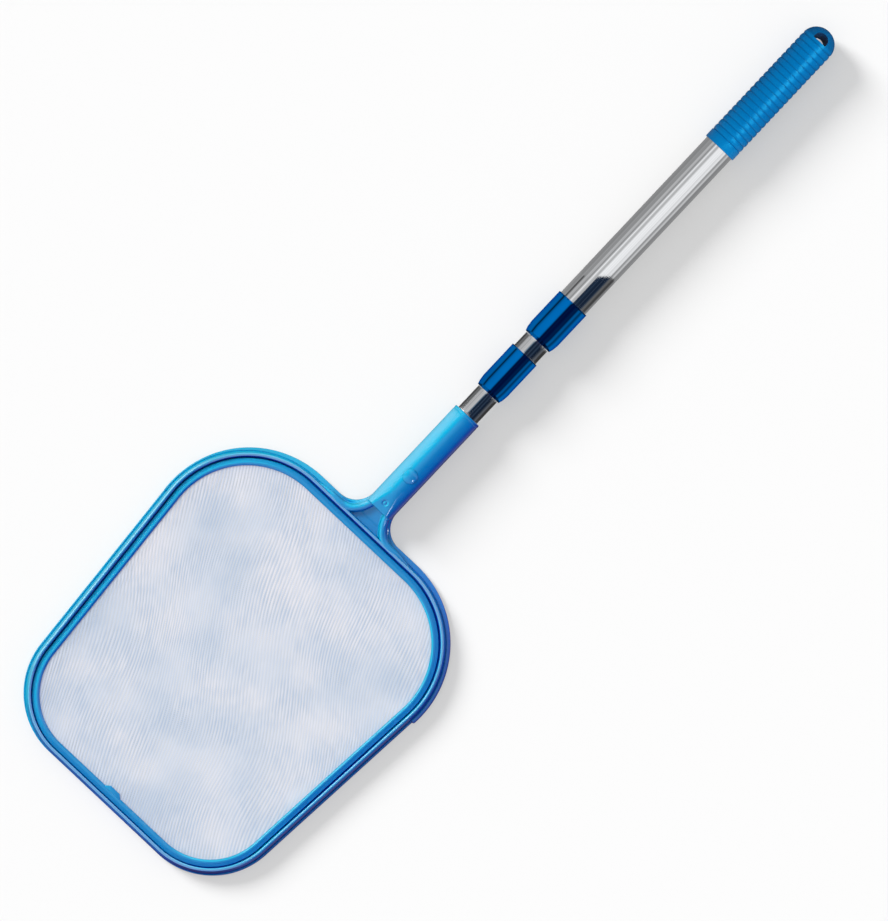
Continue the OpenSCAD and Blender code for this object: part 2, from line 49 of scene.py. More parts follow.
# ---- Rim of the head ----
# The rim is moulded in one with the yoke and socket, in glossy blue
# polypropylene. It has a flat seat for the net, a rounded rib outside the seat,
# a low ledge along its sides and a wider flange round its back half.

MM = 0.001
HEAD_LOW, HEAD_HIGH = (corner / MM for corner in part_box("head_frame"))
RIM_W, RIB_W, RIM_H, SEAT_Z, SEAT_INSET, RIB_FOOT = 12, 3.4, 13, 5, 0.8, 6.9
RIDGE_R, RIDGE_D = 1.5, 9.25
FRONT_R, BACK_R = 55, 73
FRONT_HALF_W, BACK_HALF_W = 116, 129.5
X_OPEN_FRONT = HEAD_LOW.x + RIM_W
X_OPEN_BACK = X_OPEN_FRONT + 298
X_RIB_BACK = X_OPEN_BACK + RIM_W
FLANGE_W, FLANGE_H, FLANGE_TAIL = 5, 4.6, 8
LEDGE_W, LEDGE_H = 2.5, 3


def linear(code):
    """An sRGB hex colour as the linear values that a shader takes."""
    parts = [int(code[i:i + 2], 16) / 255 for i in (1, 3, 5)]
    return tuple(p / 12.92 if p < 0.04045 else ((p + 0.055) / 1.055) ** 2.4 for p in parts) + (1,)


def add(tree, kind, inputs=None, **settings):
    """Adds a node with its settings; inputs are values or other nodes' outputs."""
    node = tree.nodes.new(kind)
    for name, value in settings.items():
        setattr(node, name, value)
    for name, value in (inputs or {}).items():
        if isinstance(value, bpy.types.NodeSocket):
            tree.links.new(value, node.inputs[name])
        else:
            node.inputs[name].default_value = value
    return node


def shades(tree, factor, stops):
    """A colour ramp of (place, sRGB hex) stops over a factor."""
    ramp = add(tree, "ShaderNodeValToRGB", {"Fac": factor})
    elements = ramp.color_ramp.elements
    while len(elements) < len(stops):
        elements.new(0.5)
    for element, (place, code) in zip(elements, stops):
        element.position, element.color = place, linear(code)
    return ramp.outputs["Color"]


def start_material(name):
    material = bpy.data.materials.new(name)
    material.use_nodes = True
    material.node_tree.nodes.clear()
    return material, material.node_tree


def end_material(tree, shader):
    add(tree, "ShaderNodeOutputMaterial", {"Surface": shader.outputs[0]})


def moulded_plastic(name, stops, roughness, grain_mm, grain_depth, ior=1.49, **finish):
    """Injection-moulded plastic: pigment that drifts a little with the flow,
    and a fine grain from the mould that breaks up the gloss."""
    material, tree = start_material(name)
    place = add(tree, "ShaderNodeTexCoord").outputs["Object"]
    flow = add(tree, "ShaderNodeTexNoise", {"Vector": place, "Scale": 1 / (38 * MM), "Detail": 3})
    grain = add(tree, "ShaderNodeTexNoise", {"Vector": place, "Scale": 1 / (grain_mm * MM), "Detail": 2})
    scuff = add(tree, "ShaderNodeTexNoise", {"Vector": place, "Scale": 1 / (9 * MM), "Detail": 4})
    rough = add(tree, "ShaderNodeMapRange", {
        "Value": scuff.outputs["Fac"], "From Min": 0.3, "From Max": 0.7,
        "To Min": roughness - 0.04, "To Max": roughness + 0.05})
    bump = add(tree, "ShaderNodeBump", {
        "Height": grain.outputs["Fac"], "Strength": 1, "Distance": grain_depth * MM})
    shader = add(tree, "ShaderNodeBsdfPrincipled", {
        "Base Color": shades(tree, flow.outputs["Fac"], stops),
        "Roughness": rough.outputs["Result"], "IOR": ior,
        "Normal": bump.outputs["Normal"], **finish})
    end_material(tree, shader)
    return material


# Painted light and shade for the head's blue: tones by how far a face turns towards the window on the left, deep navy
# facing away, cyan facing it
HEAD_LIT_AND_SHADED_TONES = [
    (0, "#001e88"), (0.05, "#0038a6"), (0.1, "#0848be"), (0.16, "#006acc"), (0.2, "#0074d0"),
    (0.3, "#007acc"), (0.4, "#0083ca"), (0.46, "#0088cc"), (0.52, "#0090d0"), (0.56, "#009bd4"),
    (0.6, "#00aade"), (0.65, "#00b6e4"), (0.7, "#00b6e0"), (0.76, "#00b1d8"), (0.85, "#00acd2"), (0.95, "#00aed4")]


def rim_shades(tree, place, normal, tone):
    """What the rim alone adds: painted light and shade on its low foot, painted shade on slopes that face the
    front and in the channel beside the net's band, and the gloss of its ridge."""
    spot = add(tree, "ShaderNodeSeparateXYZ", {"Vector": place})
    # Painted light and shade on the low foot: greener on the near side, towards the window, and darker on the far one,
    # where the ridge would shade it
    foot = add(tree, "ShaderNodeMapRange", {
        "Value": spot.outputs["Z"], "From Min": 5 * MM, "From Max": 5.4 * MM, "To Min": 1, "To Max": 0})
    reach = add(tree, "ShaderNodeMapRange", {
        "Value": spot.outputs["Y"], "From Min": -110 * MM, "From Max": 110 * MM, "To Min": -0.33, "To Max": 0.3})
    painted_foot_light = add(tree, "ShaderNodeMath", {0: foot.outputs["Result"], 1: reach.outputs["Result"]}, operation="MULTIPLY")
    shifted = add(tree, "ShaderNodeMath", {0: tone, 1: painted_foot_light.outputs[0]}, operation="ADD")
    # Painted shade: slopes that face the front, away from the window, are darker
    facing = add(tree, "ShaderNodeSeparateXYZ", {"Vector": normal})
    facing_front_painted_shade = add(tree, "ShaderNodeMapRange", {
        "Value": facing.outputs["X"], "From Min": -0.95, "From Max": -0.4, "To Min": -0.36, "To Max": 0})
    darker = add(tree, "ShaderNodeMath", {0: shifted.outputs[0], 1: facing_front_painted_shade.outputs["Result"]}, operation="ADD")
    # Painted shade: steep slopes that face the middle of the opening, in the channel beside the net's band, are mixed
    # towards dark indigo and their gloss is dulled
    middle = ((X_OPEN_FRONT + X_OPEN_BACK) / 2 * MM, 0, 0)
    inward = add(tree, "ShaderNodeVectorMath", {0: middle, 1: place}, operation="SUBTRACT")
    level = add(tree, "ShaderNodeVectorMath", {0: inward.outputs[0], 1: (1, 1, 0)}, operation="MULTIPLY")
    aim = add(tree, "ShaderNodeVectorMath", {0: level.outputs[0]}, operation="NORMALIZE")
    turned_in = add(tree, "ShaderNodeVectorMath", {0: normal, 1: aim.outputs[0]}, operation="DOT_PRODUCT")
    groove_painted_shade = add(tree, "ShaderNodeMapRange", {
        "Value": turned_in.outputs["Value"], "From Min": 0.82, "From Max": 0.97})
    # The crest of the ridge is worn to a higher polish
    crest = add(tree, "ShaderNodeMapRange", {
        "Value": spot.outputs["Z"], "From Min": (RIM_H - 0.7) * MM, "From Max": (RIM_H - 0.15) * MM,
        "To Min": 0.3, "To Max": 1})
    # Painted shade: the gloss is dulled on the slopes beside the net's band
    matt = add(tree, "ShaderNodeMapRange", {
        "Value": groove_painted_shade.outputs["Result"], "From Min": 0, "From Max": 1, "To Min": 1, "To Max": 0.3})
    gloss = add(tree, "ShaderNodeMath", {0: crest.outputs["Result"], 1: matt.outputs["Result"]}, operation="MULTIPLY")
    return darker.outputs[0], groove_painted_shade.outputs["Result"], gloss.outputs[0]


def polypropylene_painted_by_side(name, for_rim=False):
    """Moulded polypropylene, glossy, with painted light and shade: faces that turn towards the window
    on the left side are painted greener and lighter, and faces that turn away a deeper blue."""
    material, tree = start_material(name)
    coords = add(tree, "ShaderNodeTexCoord")
    place, normal = coords.outputs["Object"], coords.outputs["Normal"]
    facing = add(tree, "ShaderNodeSeparateXYZ", {"Vector": normal})
    # Painted light and shade: the tone follows how far the face turns towards the window
    side = add(tree, "ShaderNodeMapRange", {
        "Value": facing.outputs["Y"], "From Min": -1, "From Max": 1, "To Min": -0.02, "To Max": 0.98})
    flow = add(tree, "ShaderNodeTexNoise", {"Vector": place, "Scale": 1 / (38 * MM), "Detail": 3})
    drift = add(tree, "ShaderNodeMath", {0: flow.outputs["Fac"], 1: 0.04}, operation="MULTIPLY")
    tone = add(tree, "ShaderNodeMath", {0: side.outputs["Result"], 1: drift.outputs[0]}, operation="ADD").outputs[0]
    gloss, ior = 0.5, 1.49
    if for_rim:
        ior = 1.8
        tone, groove_painted_shade, gloss = rim_shades(tree, place, normal, tone)
    colour = shades(tree, tone, HEAD_LIT_AND_SHADED_TONES)
    if for_rim:
        # Painted shade: dark indigo mixed in on the slopes beside the net's band
        colour = add(tree, "ShaderNodeMix", {
            "Factor": groove_painted_shade, 6: colour, 7: linear("#1638b4")}, data_type="RGBA").outputs[2]
    grain = add(tree, "ShaderNodeTexNoise", {"Vector": place, "Scale": 1 / (0.9 * MM), "Detail": 2})
    scuff = add(tree, "ShaderNodeTexNoise", {"Vector": place, "Scale": 1 / (9 * MM), "Detail": 4})
    rough = add(tree, "ShaderNodeMapRange", {
        "Value": scuff.outputs["Fac"], "From Min": 0.3, "From Max": 0.7, "To Min": 0.13, "To Max": 0.22})
    bump = add(tree, "ShaderNodeBump", {
        "Height": grain.outputs["Fac"], "Strength": 1, "Distance": 0.005 * MM})
    shader = add(tree, "ShaderNodeBsdfPrincipled", {
        "Base Color": colour, "Roughness": rough.outputs["Result"],
        "IOR": ior, "Specular IOR Level": gloss, "Normal": bump.outputs["Normal"]})
    end_material(tree, shader)
    return material


head_blue = polypropylene_painted_by_side("polypropylene_blue_gloss")
rim_blue = polypropylene_painted_by_side("polypropylene_blue_rim", for_rim=True)


def rounded(points, steps=4):
    """Outline with each corner (x, y, radius) turned into an arc."""
    result = []
    for i, (x, y, r) in enumerate(points):
        here = Vector((x, y))
        back = Vector(points[i - 1][:2]) - here
        ahead = Vector(points[(i + 1) % len(points)][:2]) - here
        angle = back.angle(ahead)
        if r <= 0 or angle > math.pi - 0.02:
            result.append((x, y))
            continue
        reach = min(r / math.tan(angle / 2), 0.48 * back.length, 0.48 * ahead.length)
        r = reach * math.tan(angle / 2)
        centre = here + (back.normalized() + ahead.normalized()).normalized() * r / math.sin(angle / 2)
        first = here + back.normalized() * reach - centre
        turn = first.angle_signed(here + ahead.normalized() * reach - centre)
        for k in range(steps + 1):
            a = -turn * k / steps
            result.append((
                centre.x + first.x * math.cos(a) - first.y * math.sin(a),
                centre.y + first.x * math.sin(a) + first.y * math.cos(a)))
    return result


def skin(rings, endless=False):
    """Bmesh skin over rings of points in mm, closed at both ends if it has any."""
    bm = bmesh.new()
    rows = [[bm.verts.new(Vector(p) * MM) for p in ring] for ring in rings]
    count = len(rows[0])
    for i in range(len(rows) if endless else len(rows) - 1):
        one, two = rows[i], rows[(i + 1) % len(rows)]
        for k in range(count):
            n = (k + 1) % count
            bm.faces.new((one[k], one[n], two[n], two[k]))
    if not endless:
        bm.faces.new(rows[0])
        bm.faces.new(rows[-1])
    bmesh.ops.recalc_face_normals(bm, faces=bm.faces)
    return bm


def piece(name, bm, material, sharp=35):
    """Object of a finished bmesh, smooth but for its sharp edges."""
    mesh = bpy.data.meshes.new(name)
    bm.to_mesh(mesh)
    bm.free()
    mesh.shade_smooth()
    mesh.set_sharp_from_angle(angle=math.radians(sharp))
    mesh.materials.append(material)
    made = bpy.data.objects.new(name, mesh)
    bpy.context.collection.objects.link(made)
    return made


def fix(made, body, slot, *nodes):
    """The piece moves with its body and stands for its CAD nodes."""
    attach(made, body)
    if nodes:
        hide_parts(*nodes)
    return made


def opening_path(arc_steps=44, straight_steps=14):
    """Points round the net opening, anticlockwise, as (x, y, outward angle)."""
    back_x, front_x = X_OPEN_BACK - BACK_R, X_OPEN_FRONT + FRONT_R
    back_y, front_y = BACK_HALF_W - BACK_R, FRONT_HALF_W - FRONT_R
    corners = [(back_x, back_y, BACK_R), (front_x, front_y, FRONT_R),
               (front_x, -front_y, FRONT_R), (back_x, -back_y, BACK_R)]
    gap = math.hypot(front_x - back_x, front_y - back_y)
    side = math.pi + math.atan2(back_y - front_y, back_x - front_x) - math.acos((BACK_R - FRONT_R) / gap)
    turns = [(0, side), (side, math.pi), (math.pi, 2 * math.pi - side), (2 * math.pi - side, 2 * math.pi)]
    path = []
    for i, (x, y, r) in enumerate(corners):
        for k in range(arc_steps + 1):
            a = turns[i][0] + (turns[i][1] - turns[i][0]) * k / arc_steps
            path.append((x + r * math.cos(a), y + r * math.sin(a), a))
        a = turns[i][1]
        x2, y2, r2 = corners[(i + 1) % 4]
        start = Vector(path[-1][:2])
        end = Vector((x2 + r2 * math.cos(a), y2 + r2 * math.sin(a)))
        for k in range(1, straight_steps):
            p = start.lerp(end, k / straight_steps)
            path.append((p.x, p.y, a))
    return path


def along_side(x, tail_x):
    """1 behind the place where the back flange ends, 0 in front of it."""
    return min(1, max(0, (x - tail_x) / 0.8 + 0.5))


def rim_section(foot_w, foot_h, ridge_d, slope_w):
    """Outline of the rim as (distance out, height): seat, rounded ridge and foot."""
    gap = min(0.8, max(0.04, 0.5 * foot_w))
    slope_d = RIM_W - 0.1 + slope_w
    ridge = [(ridge_d - RIDGE_R * math.cos(b), RIM_H - RIDGE_R * (1 - math.sin(b)), 0)
             for b in (math.radians(8 + 158 * k / 10) for k in range(11))]
    return rounded([
        (SEAT_INSET, 0, 0.3), (SEAT_INSET, SEAT_Z, 0.35), (RIB_FOOT, SEAT_Z, 0.3), *ridge,
        (slope_d, foot_h - 1.1 * gap, 0.2), (min(slope_d + gap, RIM_W + foot_w - 0.02), foot_h, 0.3),
        (RIM_W + foot_w, foot_h, 0.7), (RIM_W + foot_w, 0, 0.35)])


def rim_rings():
    """The rim's section at each place round the opening."""
    tail_x = X_OPEN_BACK - BACK_R - FLANGE_TAIL
    path = opening_path()
    extra = []
    for i, (x, y, a) in enumerate(path):
        x2, y2, a2 = path[(i + 1) % len(path)]
        extra.append((x, y, a))
        if (x - tail_x) * (x2 - tail_x) < 0:
            for at in (tail_x + 0.5, tail_x + 0.2, tail_x - 0.2, tail_x - 0.5)[::1 if x > x2 else -1]:
                t = (at - x) / (x2 - x)
                extra.append((at, y + (y2 - y) * t, a))
    rings = []
    for x, y, a in extra:
        c, s = math.cos(a), math.sin(a)
        behind = along_side(x, tail_x)
        flange_w = FLANGE_W - (2.4 if s > 0 else 0.8) * abs(s)
        outline = rim_section(
            behind * flange_w + (1 - behind) * LEDGE_W * abs(s), behind * FLANGE_H + (1 - behind) * LEDGE_H,
            RIDGE_D + (0.5 if c > 0 else 0.8) * c, 0.7 * abs(s))
        rings.append([(x + d * c, y + d * s, z) for d, z in outline])
    return rings


rim = piece("head_rim", skin(rim_rings(), endless=True), rim_blue)
fix(rim, "head", "head_plastic", "head_frame")

# ---- Yoke of the head ----
# Two rounded arms rise from the rim to the socket, with a recessed web between
# them and a plate that follows the fillets outside them. The socket's end is a
# sloping flat with a small moulded dimple. All of it is the same moulding.

SOCKET_R, POLE_Z, BORE_R = 13.25, 15.5, 10.75
X_MOUTH = HEAD_HIGH.x
X_FLANGE_BACK = X_RIB_BACK + FLANGE_W
FILLET_R, ARM_W, ARM_SHIFT, ARM_TILT = 20.5, 6.5, 3.6, math.radians(16)
FILLET_X, FILLET_Y = X_FLANGE_BACK + FILLET_R, SOCKET_R + FILLET_R
ARM_Y = FILLET_Y + ARM_SHIFT
ARM_R = FILLET_X - X_RIB_BACK + 0.3 * RIB_W + ARM_W / 2
ARM_TAIL, ARM_OUT = 17, 4.1
WEB_L, WEB_T, YOKE_RISE = 17, 6, 10
X_BOSS = X_RIB_BACK + WEB_L
FLAT_L, FLAT_DROP, FLAT_BLEND = 16, 3.2, 1.4
DIMPLE_R, DIMPLE_DEPTH = 2.9, 0.9
X_SPLIT = X_BOSS + 27


def climb(x):
    """Height of the yoke's underside."""
    return max(0, (x - X_FLANGE_BACK) / FILLET_R * YOKE_RISE)


def smooth_step(t):
    """Eases from 0 to 1 while t goes from 0 to 1."""
    t = min(1, max(0, t))
    return t * t * (3 - 2 * t)


def plate_rings(x0, x1, r, y, thickness):
    """Sections of a plate that is cut back to r round (FILLET_X, y) on both sides."""
    rings = []
    for i in range(61):
        x = x0 + (x1 - x0) * i / 60
        inside = r * r - (FILLET_X - x) ** 2
        half = y - math.sqrt(inside) if inside > 0 else y
        z = climb(min(x, FILLET_X))
        edge = [(0, 0), (0, 0.3), (0.5, 0.6), (1.6, 0.86), (3.4, 1)]
        right = [(x, half - d, z + share * thickness) for d, share in edge]
        rings.append(right + [(x, -y_right, z_right) for x, y_right, z_right in reversed(right)])
    return rings


def arm_rings(side):
    """Sections of an arm: a wall with a half-round top. It grows out of the
    rim's ridge, turns away from it on an arc and climbs to the socket."""
    places = [(ARM_TAIL * (1 - i / 14), 180) for i in range(14)] + [(0, 180 + 90 * i / 48) for i in range(49)]
    rings = []
    for tail, degrees in places:
        fade = 0.3 + 0.7 * tail / ARM_TAIL if tail else max(0, 0.3 * (1 - (degrees - 180) / 22))
        a = math.radians(degrees)
        r = ARM_R - ARM_OUT * (1 - smooth_step((degrees - 180) / 42)) + 1.9 * fade ** 2
        half = ARM_W / 2 * (1 - 0.5 * fade)
        x_mid, y_mid = FILLET_X + r * math.cos(a), ARM_Y + r * math.sin(a) + tail
        top = RIM_H - half + math.tan(ARM_TILT) * max(0, x_mid - X_RIB_BACK + 3) - 5.5 * fade ** 1.5
        across = [(-half, None), (half, None)]
        across += [(half * math.cos(b), top + half * math.sin(b)) for b in (math.pi * k / 12 for k in range(13))]
        rings.append([
            (x_mid + d * math.cos(a), side * (y_mid + d * math.sin(a)), climb(min(x_mid, FILLET_X)) if z is None else z)
            for d, z in across])
    return rings


def socket_front_rings():
    """Sections of the socket's front end, with the sloping flat over the yoke."""
    def softer(round_z, flat_z):
        mix = min(1, max(0, 0.5 + 0.5 * (round_z - flat_z) / FLAT_BLEND))
        return round_z + (flat_z - round_z) * mix - FLAT_BLEND * mix * (1 - mix)

    rings = []
    for i in range(57):
        x = X_BOSS + (X_SPLIT - X_BOSS) * i / 56
        flat = POLE_Z + SOCKET_R - FLAT_DROP * (1 - (x - X_BOSS) / FLAT_L)
        rings.append([
            (x, SOCKET_R * math.cos(a), softer(POLE_Z + SOCKET_R * math.sin(a), flat))
            for a in (2 * math.pi * k / 160 for k in range(160))])
    return rings


def yoke_mesh():
    """One skin over all of the yoke's shapes, softened like a moulding."""
    bm = bmesh.new()
    for rings in (
            plate_rings(X_RIB_BACK - 1, FILLET_X + 2, FILLET_R, FILLET_Y, FLANGE_H),
            plate_rings(X_RIB_BACK - 1, X_BOSS + 2, ARM_R, ARM_Y, WEB_T),
            arm_rings(1), arm_rings(-1), socket_front_rings()):
        part = skin(rings)
        mesh = bpy.data.meshes.new("part")
        part.to_mesh(mesh)
        part.free()
        bm.from_mesh(mesh)
        bpy.data.meshes.remove(mesh)
    mesh = bpy.data.meshes.new("yoke")
    bm.to_mesh(mesh)
    bm.free()
    block = bpy.data.objects.new("yoke", mesh)
    bpy.context.collection.objects.link(block)
    block.modifiers.new("one_skin", "REMESH").voxel_size = 0.5 * MM
    soften = block.modifiers.new("soften", "SMOOTH")
    soften.factor, soften.iterations = 0.5, 5
    bpy.context.view_layer.update()
    done = bpy.data.meshes.new_from_object(block.evaluated_get(bpy.context.evaluated_depsgraph_get()))
    bpy.data.objects.remove(block)
    return done


def true_up_yoke(mesh):
    """Puts the skin back on the socket's exact round, sinks what lies under the
    rim's flange, and presses in the dimple."""
    co = np.zeros(len(mesh.vertices) * 3)
    mesh.vertices.foreach_get("co", co)
    co = co.reshape(-1, 3) / MM
    x, y, z = co.T
    r = np.hypot(y, z - POLE_Z)
    on_round = np.clip((x - X_BOSS - 19) / 3, 0, 1) * (np.abs(r - SOCKET_R) < 0.6)
    want = SOCKET_R - 0.05 * np.clip((x - X_SPLIT + 3) / 1, 0, 1)
    scale = 1 + on_round * (want / np.maximum(r, 1) - 1)
    y, z = y * scale, POLE_Z + (z - POLE_Z) * scale
    under = np.clip((X_FLANGE_BACK - 0.9 - x) / 0.4, 0, 1) * (z < FLANGE_H + 0.4)
    z = z - 0.25 * under * (z > 1)
    dimple_x = X_BOSS + FLAT_L / 2
    far = np.hypot(x - dimple_x, y)
    wall = np.clip((DIMPLE_R - far) / 0.8, 0, 1)
    dot = np.clip((DIMPLE_R / 3 + 0.4 - far) / 0.6, 0, 1)
    top = z > POLE_Z + SOCKET_R - FLAT_DROP - 1.5
    z = z - top * DIMPLE_DEPTH * (wall - 0.8 * dot)
    mesh.vertices.foreach_set("co", (np.stack([x, y, z], 1) * MM).ravel())
    mesh.update()


yoke_skin = yoke_mesh()
true_up_yoke(yoke_skin)
yoke_bm = bmesh.new()
yoke_bm.from_mesh(yoke_skin)
yoke = piece("head_yoke", yoke_bm, head_blue, 180)
fix(yoke, "head", "head_plastic", "head_frame")

# ---- Socket of the head ----
# The socket is a plain round sleeve, moulded in one with the yoke, that takes
# the front end of the pole. Its mouth is lightly chamfered, and a round hole on
# top lets the release button through.

BORE_L, BUTTON_BACK, BUTTON_R = 95, 70.6, 6.5
X_BUTTON = X_MOUTH - BUTTON_BACK


def turned(outline, steps=128):
    """Skin of an outline of (x, radius) points, turned round the pole's axis."""
    return skin([
        [(x, r * math.cos(a), POLE_Z + r * math.sin(a)) for x, r in outline]
        for a in (2 * math.pi * k / steps for k in range(steps))], endless=True)


def cut(made, cutter_bm):
    """Takes a closed shape out of a piece."""
    cutter = piece("cutter", cutter_bm, head_blue)
    boolean = made.modifiers.new("cut", "BOOLEAN")
    boolean.operation, boolean.solver, boolean.object = "DIFFERENCE", "EXACT", cutter
    bpy.context.view_layer.update()
    done = bpy.data.meshes.new_from_object(made.evaluated_get(bpy.context.evaluated_depsgraph_get()))
    made.modifiers.clear()
    old, made.data = made.data, done
    bpy.data.meshes.remove(old)
    bpy.data.objects.remove(cutter)
    made.data.set_sharp_from_angle(angle=math.radians(35))


def upright(x, y, z0, z1, r, steps=96):
    """Closed upright cylinder."""
    return skin([
        [(x + r * math.cos(a), y + r * math.sin(a), z) for a in (2 * math.pi * k / steps for k in range(steps))]
        for z in (z0, z1)])


socket = piece("head_socket", turned(rounded([
    (X_SPLIT - 1.5, BORE_R, 0), (X_MOUTH, BORE_R, 0.3),
    (X_MOUTH, SOCKET_R, 0.9), (X_MOUTH - 2.2, SOCKET_R, 0.3), (X_MOUTH - 2.7, SOCKET_R - 0.35, 0.2),
    (X_MOUTH - 3.2, SOCKET_R, 0.3), (X_SPLIT - 1.5, SOCKET_R, 0)])), head_blue)
cut(socket, upright(X_BUTTON, 0, POLE_Z + 2, POLE_Z + 20, BUTTON_R + 0.1))
fix(socket, "head", "head_plastic", "head_frame")

# ---- Clamp ring ----
# A flat blue band lies inside the rib and holds the net's edge down on its
# seat. It is moulded polypropylene with a raised lip, fine grooves along the
# band and a small tab at the front that it is lifted by.

RING_W, RING_Z, RING_TOP, LIP_H = RIB_FOOT - 0.2, 5.5, 9.5, 0.8
GROOVES = (3.9, 4.7, 5.5)


def ring_section():
    """Outline of the clamp ring as (distance out, height): a lip with a sloping
    inner face, and a band that falls away from it and has fine grooves."""
    def band_z(d):
        return RING_TOP + 0.62 - 0.42 * (d - 3)

    band = []
    for d in GROOVES:
        band += [(d - 0.25, band_z(d - 0.25), 0), (d, band_z(d) - 0.14, 0), (d + 0.25, band_z(d + 0.25), 0)]
    return rounded([
        (0, RING_Z, 0.2), (0.15, RING_TOP - 0.7, 0.8), (1.7, RING_TOP + LIP_H, 0.8), (3, band_z(3), 0.8),
        *band, (RING_W - 0.5, band_z(RING_W - 0.5), 0.5), (RING_W, RING_TOP - 2, 0.4), (RING_W, RING_Z, 0.2)])


def poly_curve(name, lines, cyclic):
    """Curve object of straight-sided splines through points in mm."""
    curve = bpy.data.curves.new(name, "CURVE")
    curve.dimensions = "3D"
    for points in lines:
        spline = curve.splines.new("POLY")
        spline.points.add(len(points) - 1)
        for at, p in zip(spline.points, points):
            at.co = (p[0] * MM, p[1] * MM, p[2] * MM, 1)
        spline.use_cyclic_u = cyclic
    made = bpy.data.objects.new(name, curve)
    bpy.context.collection.objects.link(made)
    return made


def node_group(name, inputs):
    """Geometry node tree with named inputs, as (tree, its input node)."""
    tree = bpy.data.node_groups.new(name, "GeometryNodeTree")
    tree.interface.new_socket("Geometry", in_out="INPUT", socket_type="NodeSocketGeometry")
    for label, kind in inputs:
        tree.interface.new_socket(label, in_out="INPUT", socket_type=kind)
    tree.interface.new_socket("Geometry", in_out="OUTPUT", socket_type="NodeSocketGeometry")
    return tree, add(tree, "NodeGroupInput")


def end_group(tree, geometry, source):
    """Ends a tree in real geometry with its material."""
    real = add(tree, "GeometryNodeRealizeInstances", {"Geometry": geometry})
    painted = add(tree, "GeometryNodeSetMaterial", {
        "Geometry": real.outputs[0], "Material": source.outputs["Material"]})
    add(tree, "NodeGroupOutput", {"Geometry": painted.outputs[0]})


def grow(carrier, tree, **values):
    """Runs a node tree on an object with the values of its inputs, and returns the plain mesh."""
    modifier = carrier.modifiers.new("grow", "NODES")
    modifier.node_group = tree
    for item in tree.interface.items_tree:
        key = item.name.replace(" ", "_").lower()
        if item.in_out == "INPUT" and key in values:
            modifier[item.identifier] = values[key]
    bpy.context.view_layer.update()
    mesh = bpy.data.meshes.new_from_object(
        carrier.evaluated_get(bpy.context.evaluated_depsgraph_get()))
    bpy.data.objects.remove(carrier)
    return mesh


def placed(name, mesh, sharp=35):
    """Object of a mesh that a node tree made."""
    mesh.name = name
    mesh.shade_smooth()
    mesh.set_sharp_from_angle(angle=math.radians(sharp))
    made = bpy.data.objects.new(name, mesh)
    bpy.context.collection.objects.link(made)
    return made


def sweep_tree():
    """Sweeps a closed section round the closed path that carries the modifier."""
    tree, source = node_group("sweep_round_rim", [
        ("Section", "NodeSocketObject"), ("Material", "NodeSocketMaterial")])
    section = add(tree, "GeometryNodeObjectInfo", {"Object": source.outputs["Section"]})
    level = add(tree, "GeometryNodeSetCurveNormal", {"Curve": source.outputs["Geometry"]}, mode="Z_UP")
    swept = add(tree, "GeometryNodeCurveToMesh", {
        "Curve": level.outputs[0], "Profile Curve": section.outputs["Geometry"]})
    end_group(tree, swept.outputs[0], source)
    return tree


ring_path = poly_curve("ring_path", [[(x, y, 0) for x, y, a in opening_path()]], True)
ring_line = poly_curve("ring_line", [[(d, -z, 0) for d, z in ring_section()]], True)
ring = placed("clamp_ring", grow(ring_path, sweep_tree(), section=ring_line, material=head_blue))
bpy.data.objects.remove(ring_line)
fix(ring, "head", "head_plastic", "net_clamp_ring")
print("ring box", [tuple(round(v / MM, 2) for v in c) for c in (ring.bound_box[0], ring.bound_box[6])])

TAB_W, TAB_L = 17, 2.8
tab_outline = rounded([
    (-1.2, -TAB_W / 2, 0), (0.2, -TAB_W / 2, 0.6), (TAB_L, -0.3 * TAB_W, 1.2),
    (TAB_L, 0.3 * TAB_W, 1.2), (0.2, TAB_W / 2, 0.6), (-1.2, TAB_W / 2, 0)])
tab_bm = skin([[(X_OPEN_FRONT + x, y, z) for x, y in tab_outline] for z in (RING_Z, RING_TOP)])
tab_edges = [e for e in tab_bm.edges if all(v.co.z > (RING_TOP - 0.1) * MM for v in e.verts)]
bmesh.ops.bevel(tab_bm, geom=tab_edges, offset=0.6 * MM, segments=3, affect="EDGES", profile=0.5)
tab = piece("clamp_ring_tab", tab_bm, head_blue)
fix(tab, "head", "head_plastic", "net_clamp_ring")

# ---- Net ----
# The net is a fine woven polyester mesh, cut a little larger than the opening,
# clamped all round and slack in the middle, so that it settles in low waves.
# A simulated sheet gives its waves and real threads are laid over it.

SHEET_STEP, SHEET_REACH = 4, 11
NET_LEVEL = 5.25
NET_SLACK = 0.006


def outside(points):
    """Distance of (x, y) points from the edge of the opening, below 0 inside it."""
    path = np.array(opening_path(90, 60))
    result = np.empty(len(points))
    for i in range(0, len(points), 500):
        gap = points[i:i + 500, None, :] - path[None, :, :2]
        near = np.argmin((gap ** 2).sum(2), 1)
        pick = gap[np.arange(len(near)), near]
        result[i:i + 500] = pick[:, 0] * np.cos(path[near, 2]) + pick[:, 1] * np.sin(path[near, 2])
    return result


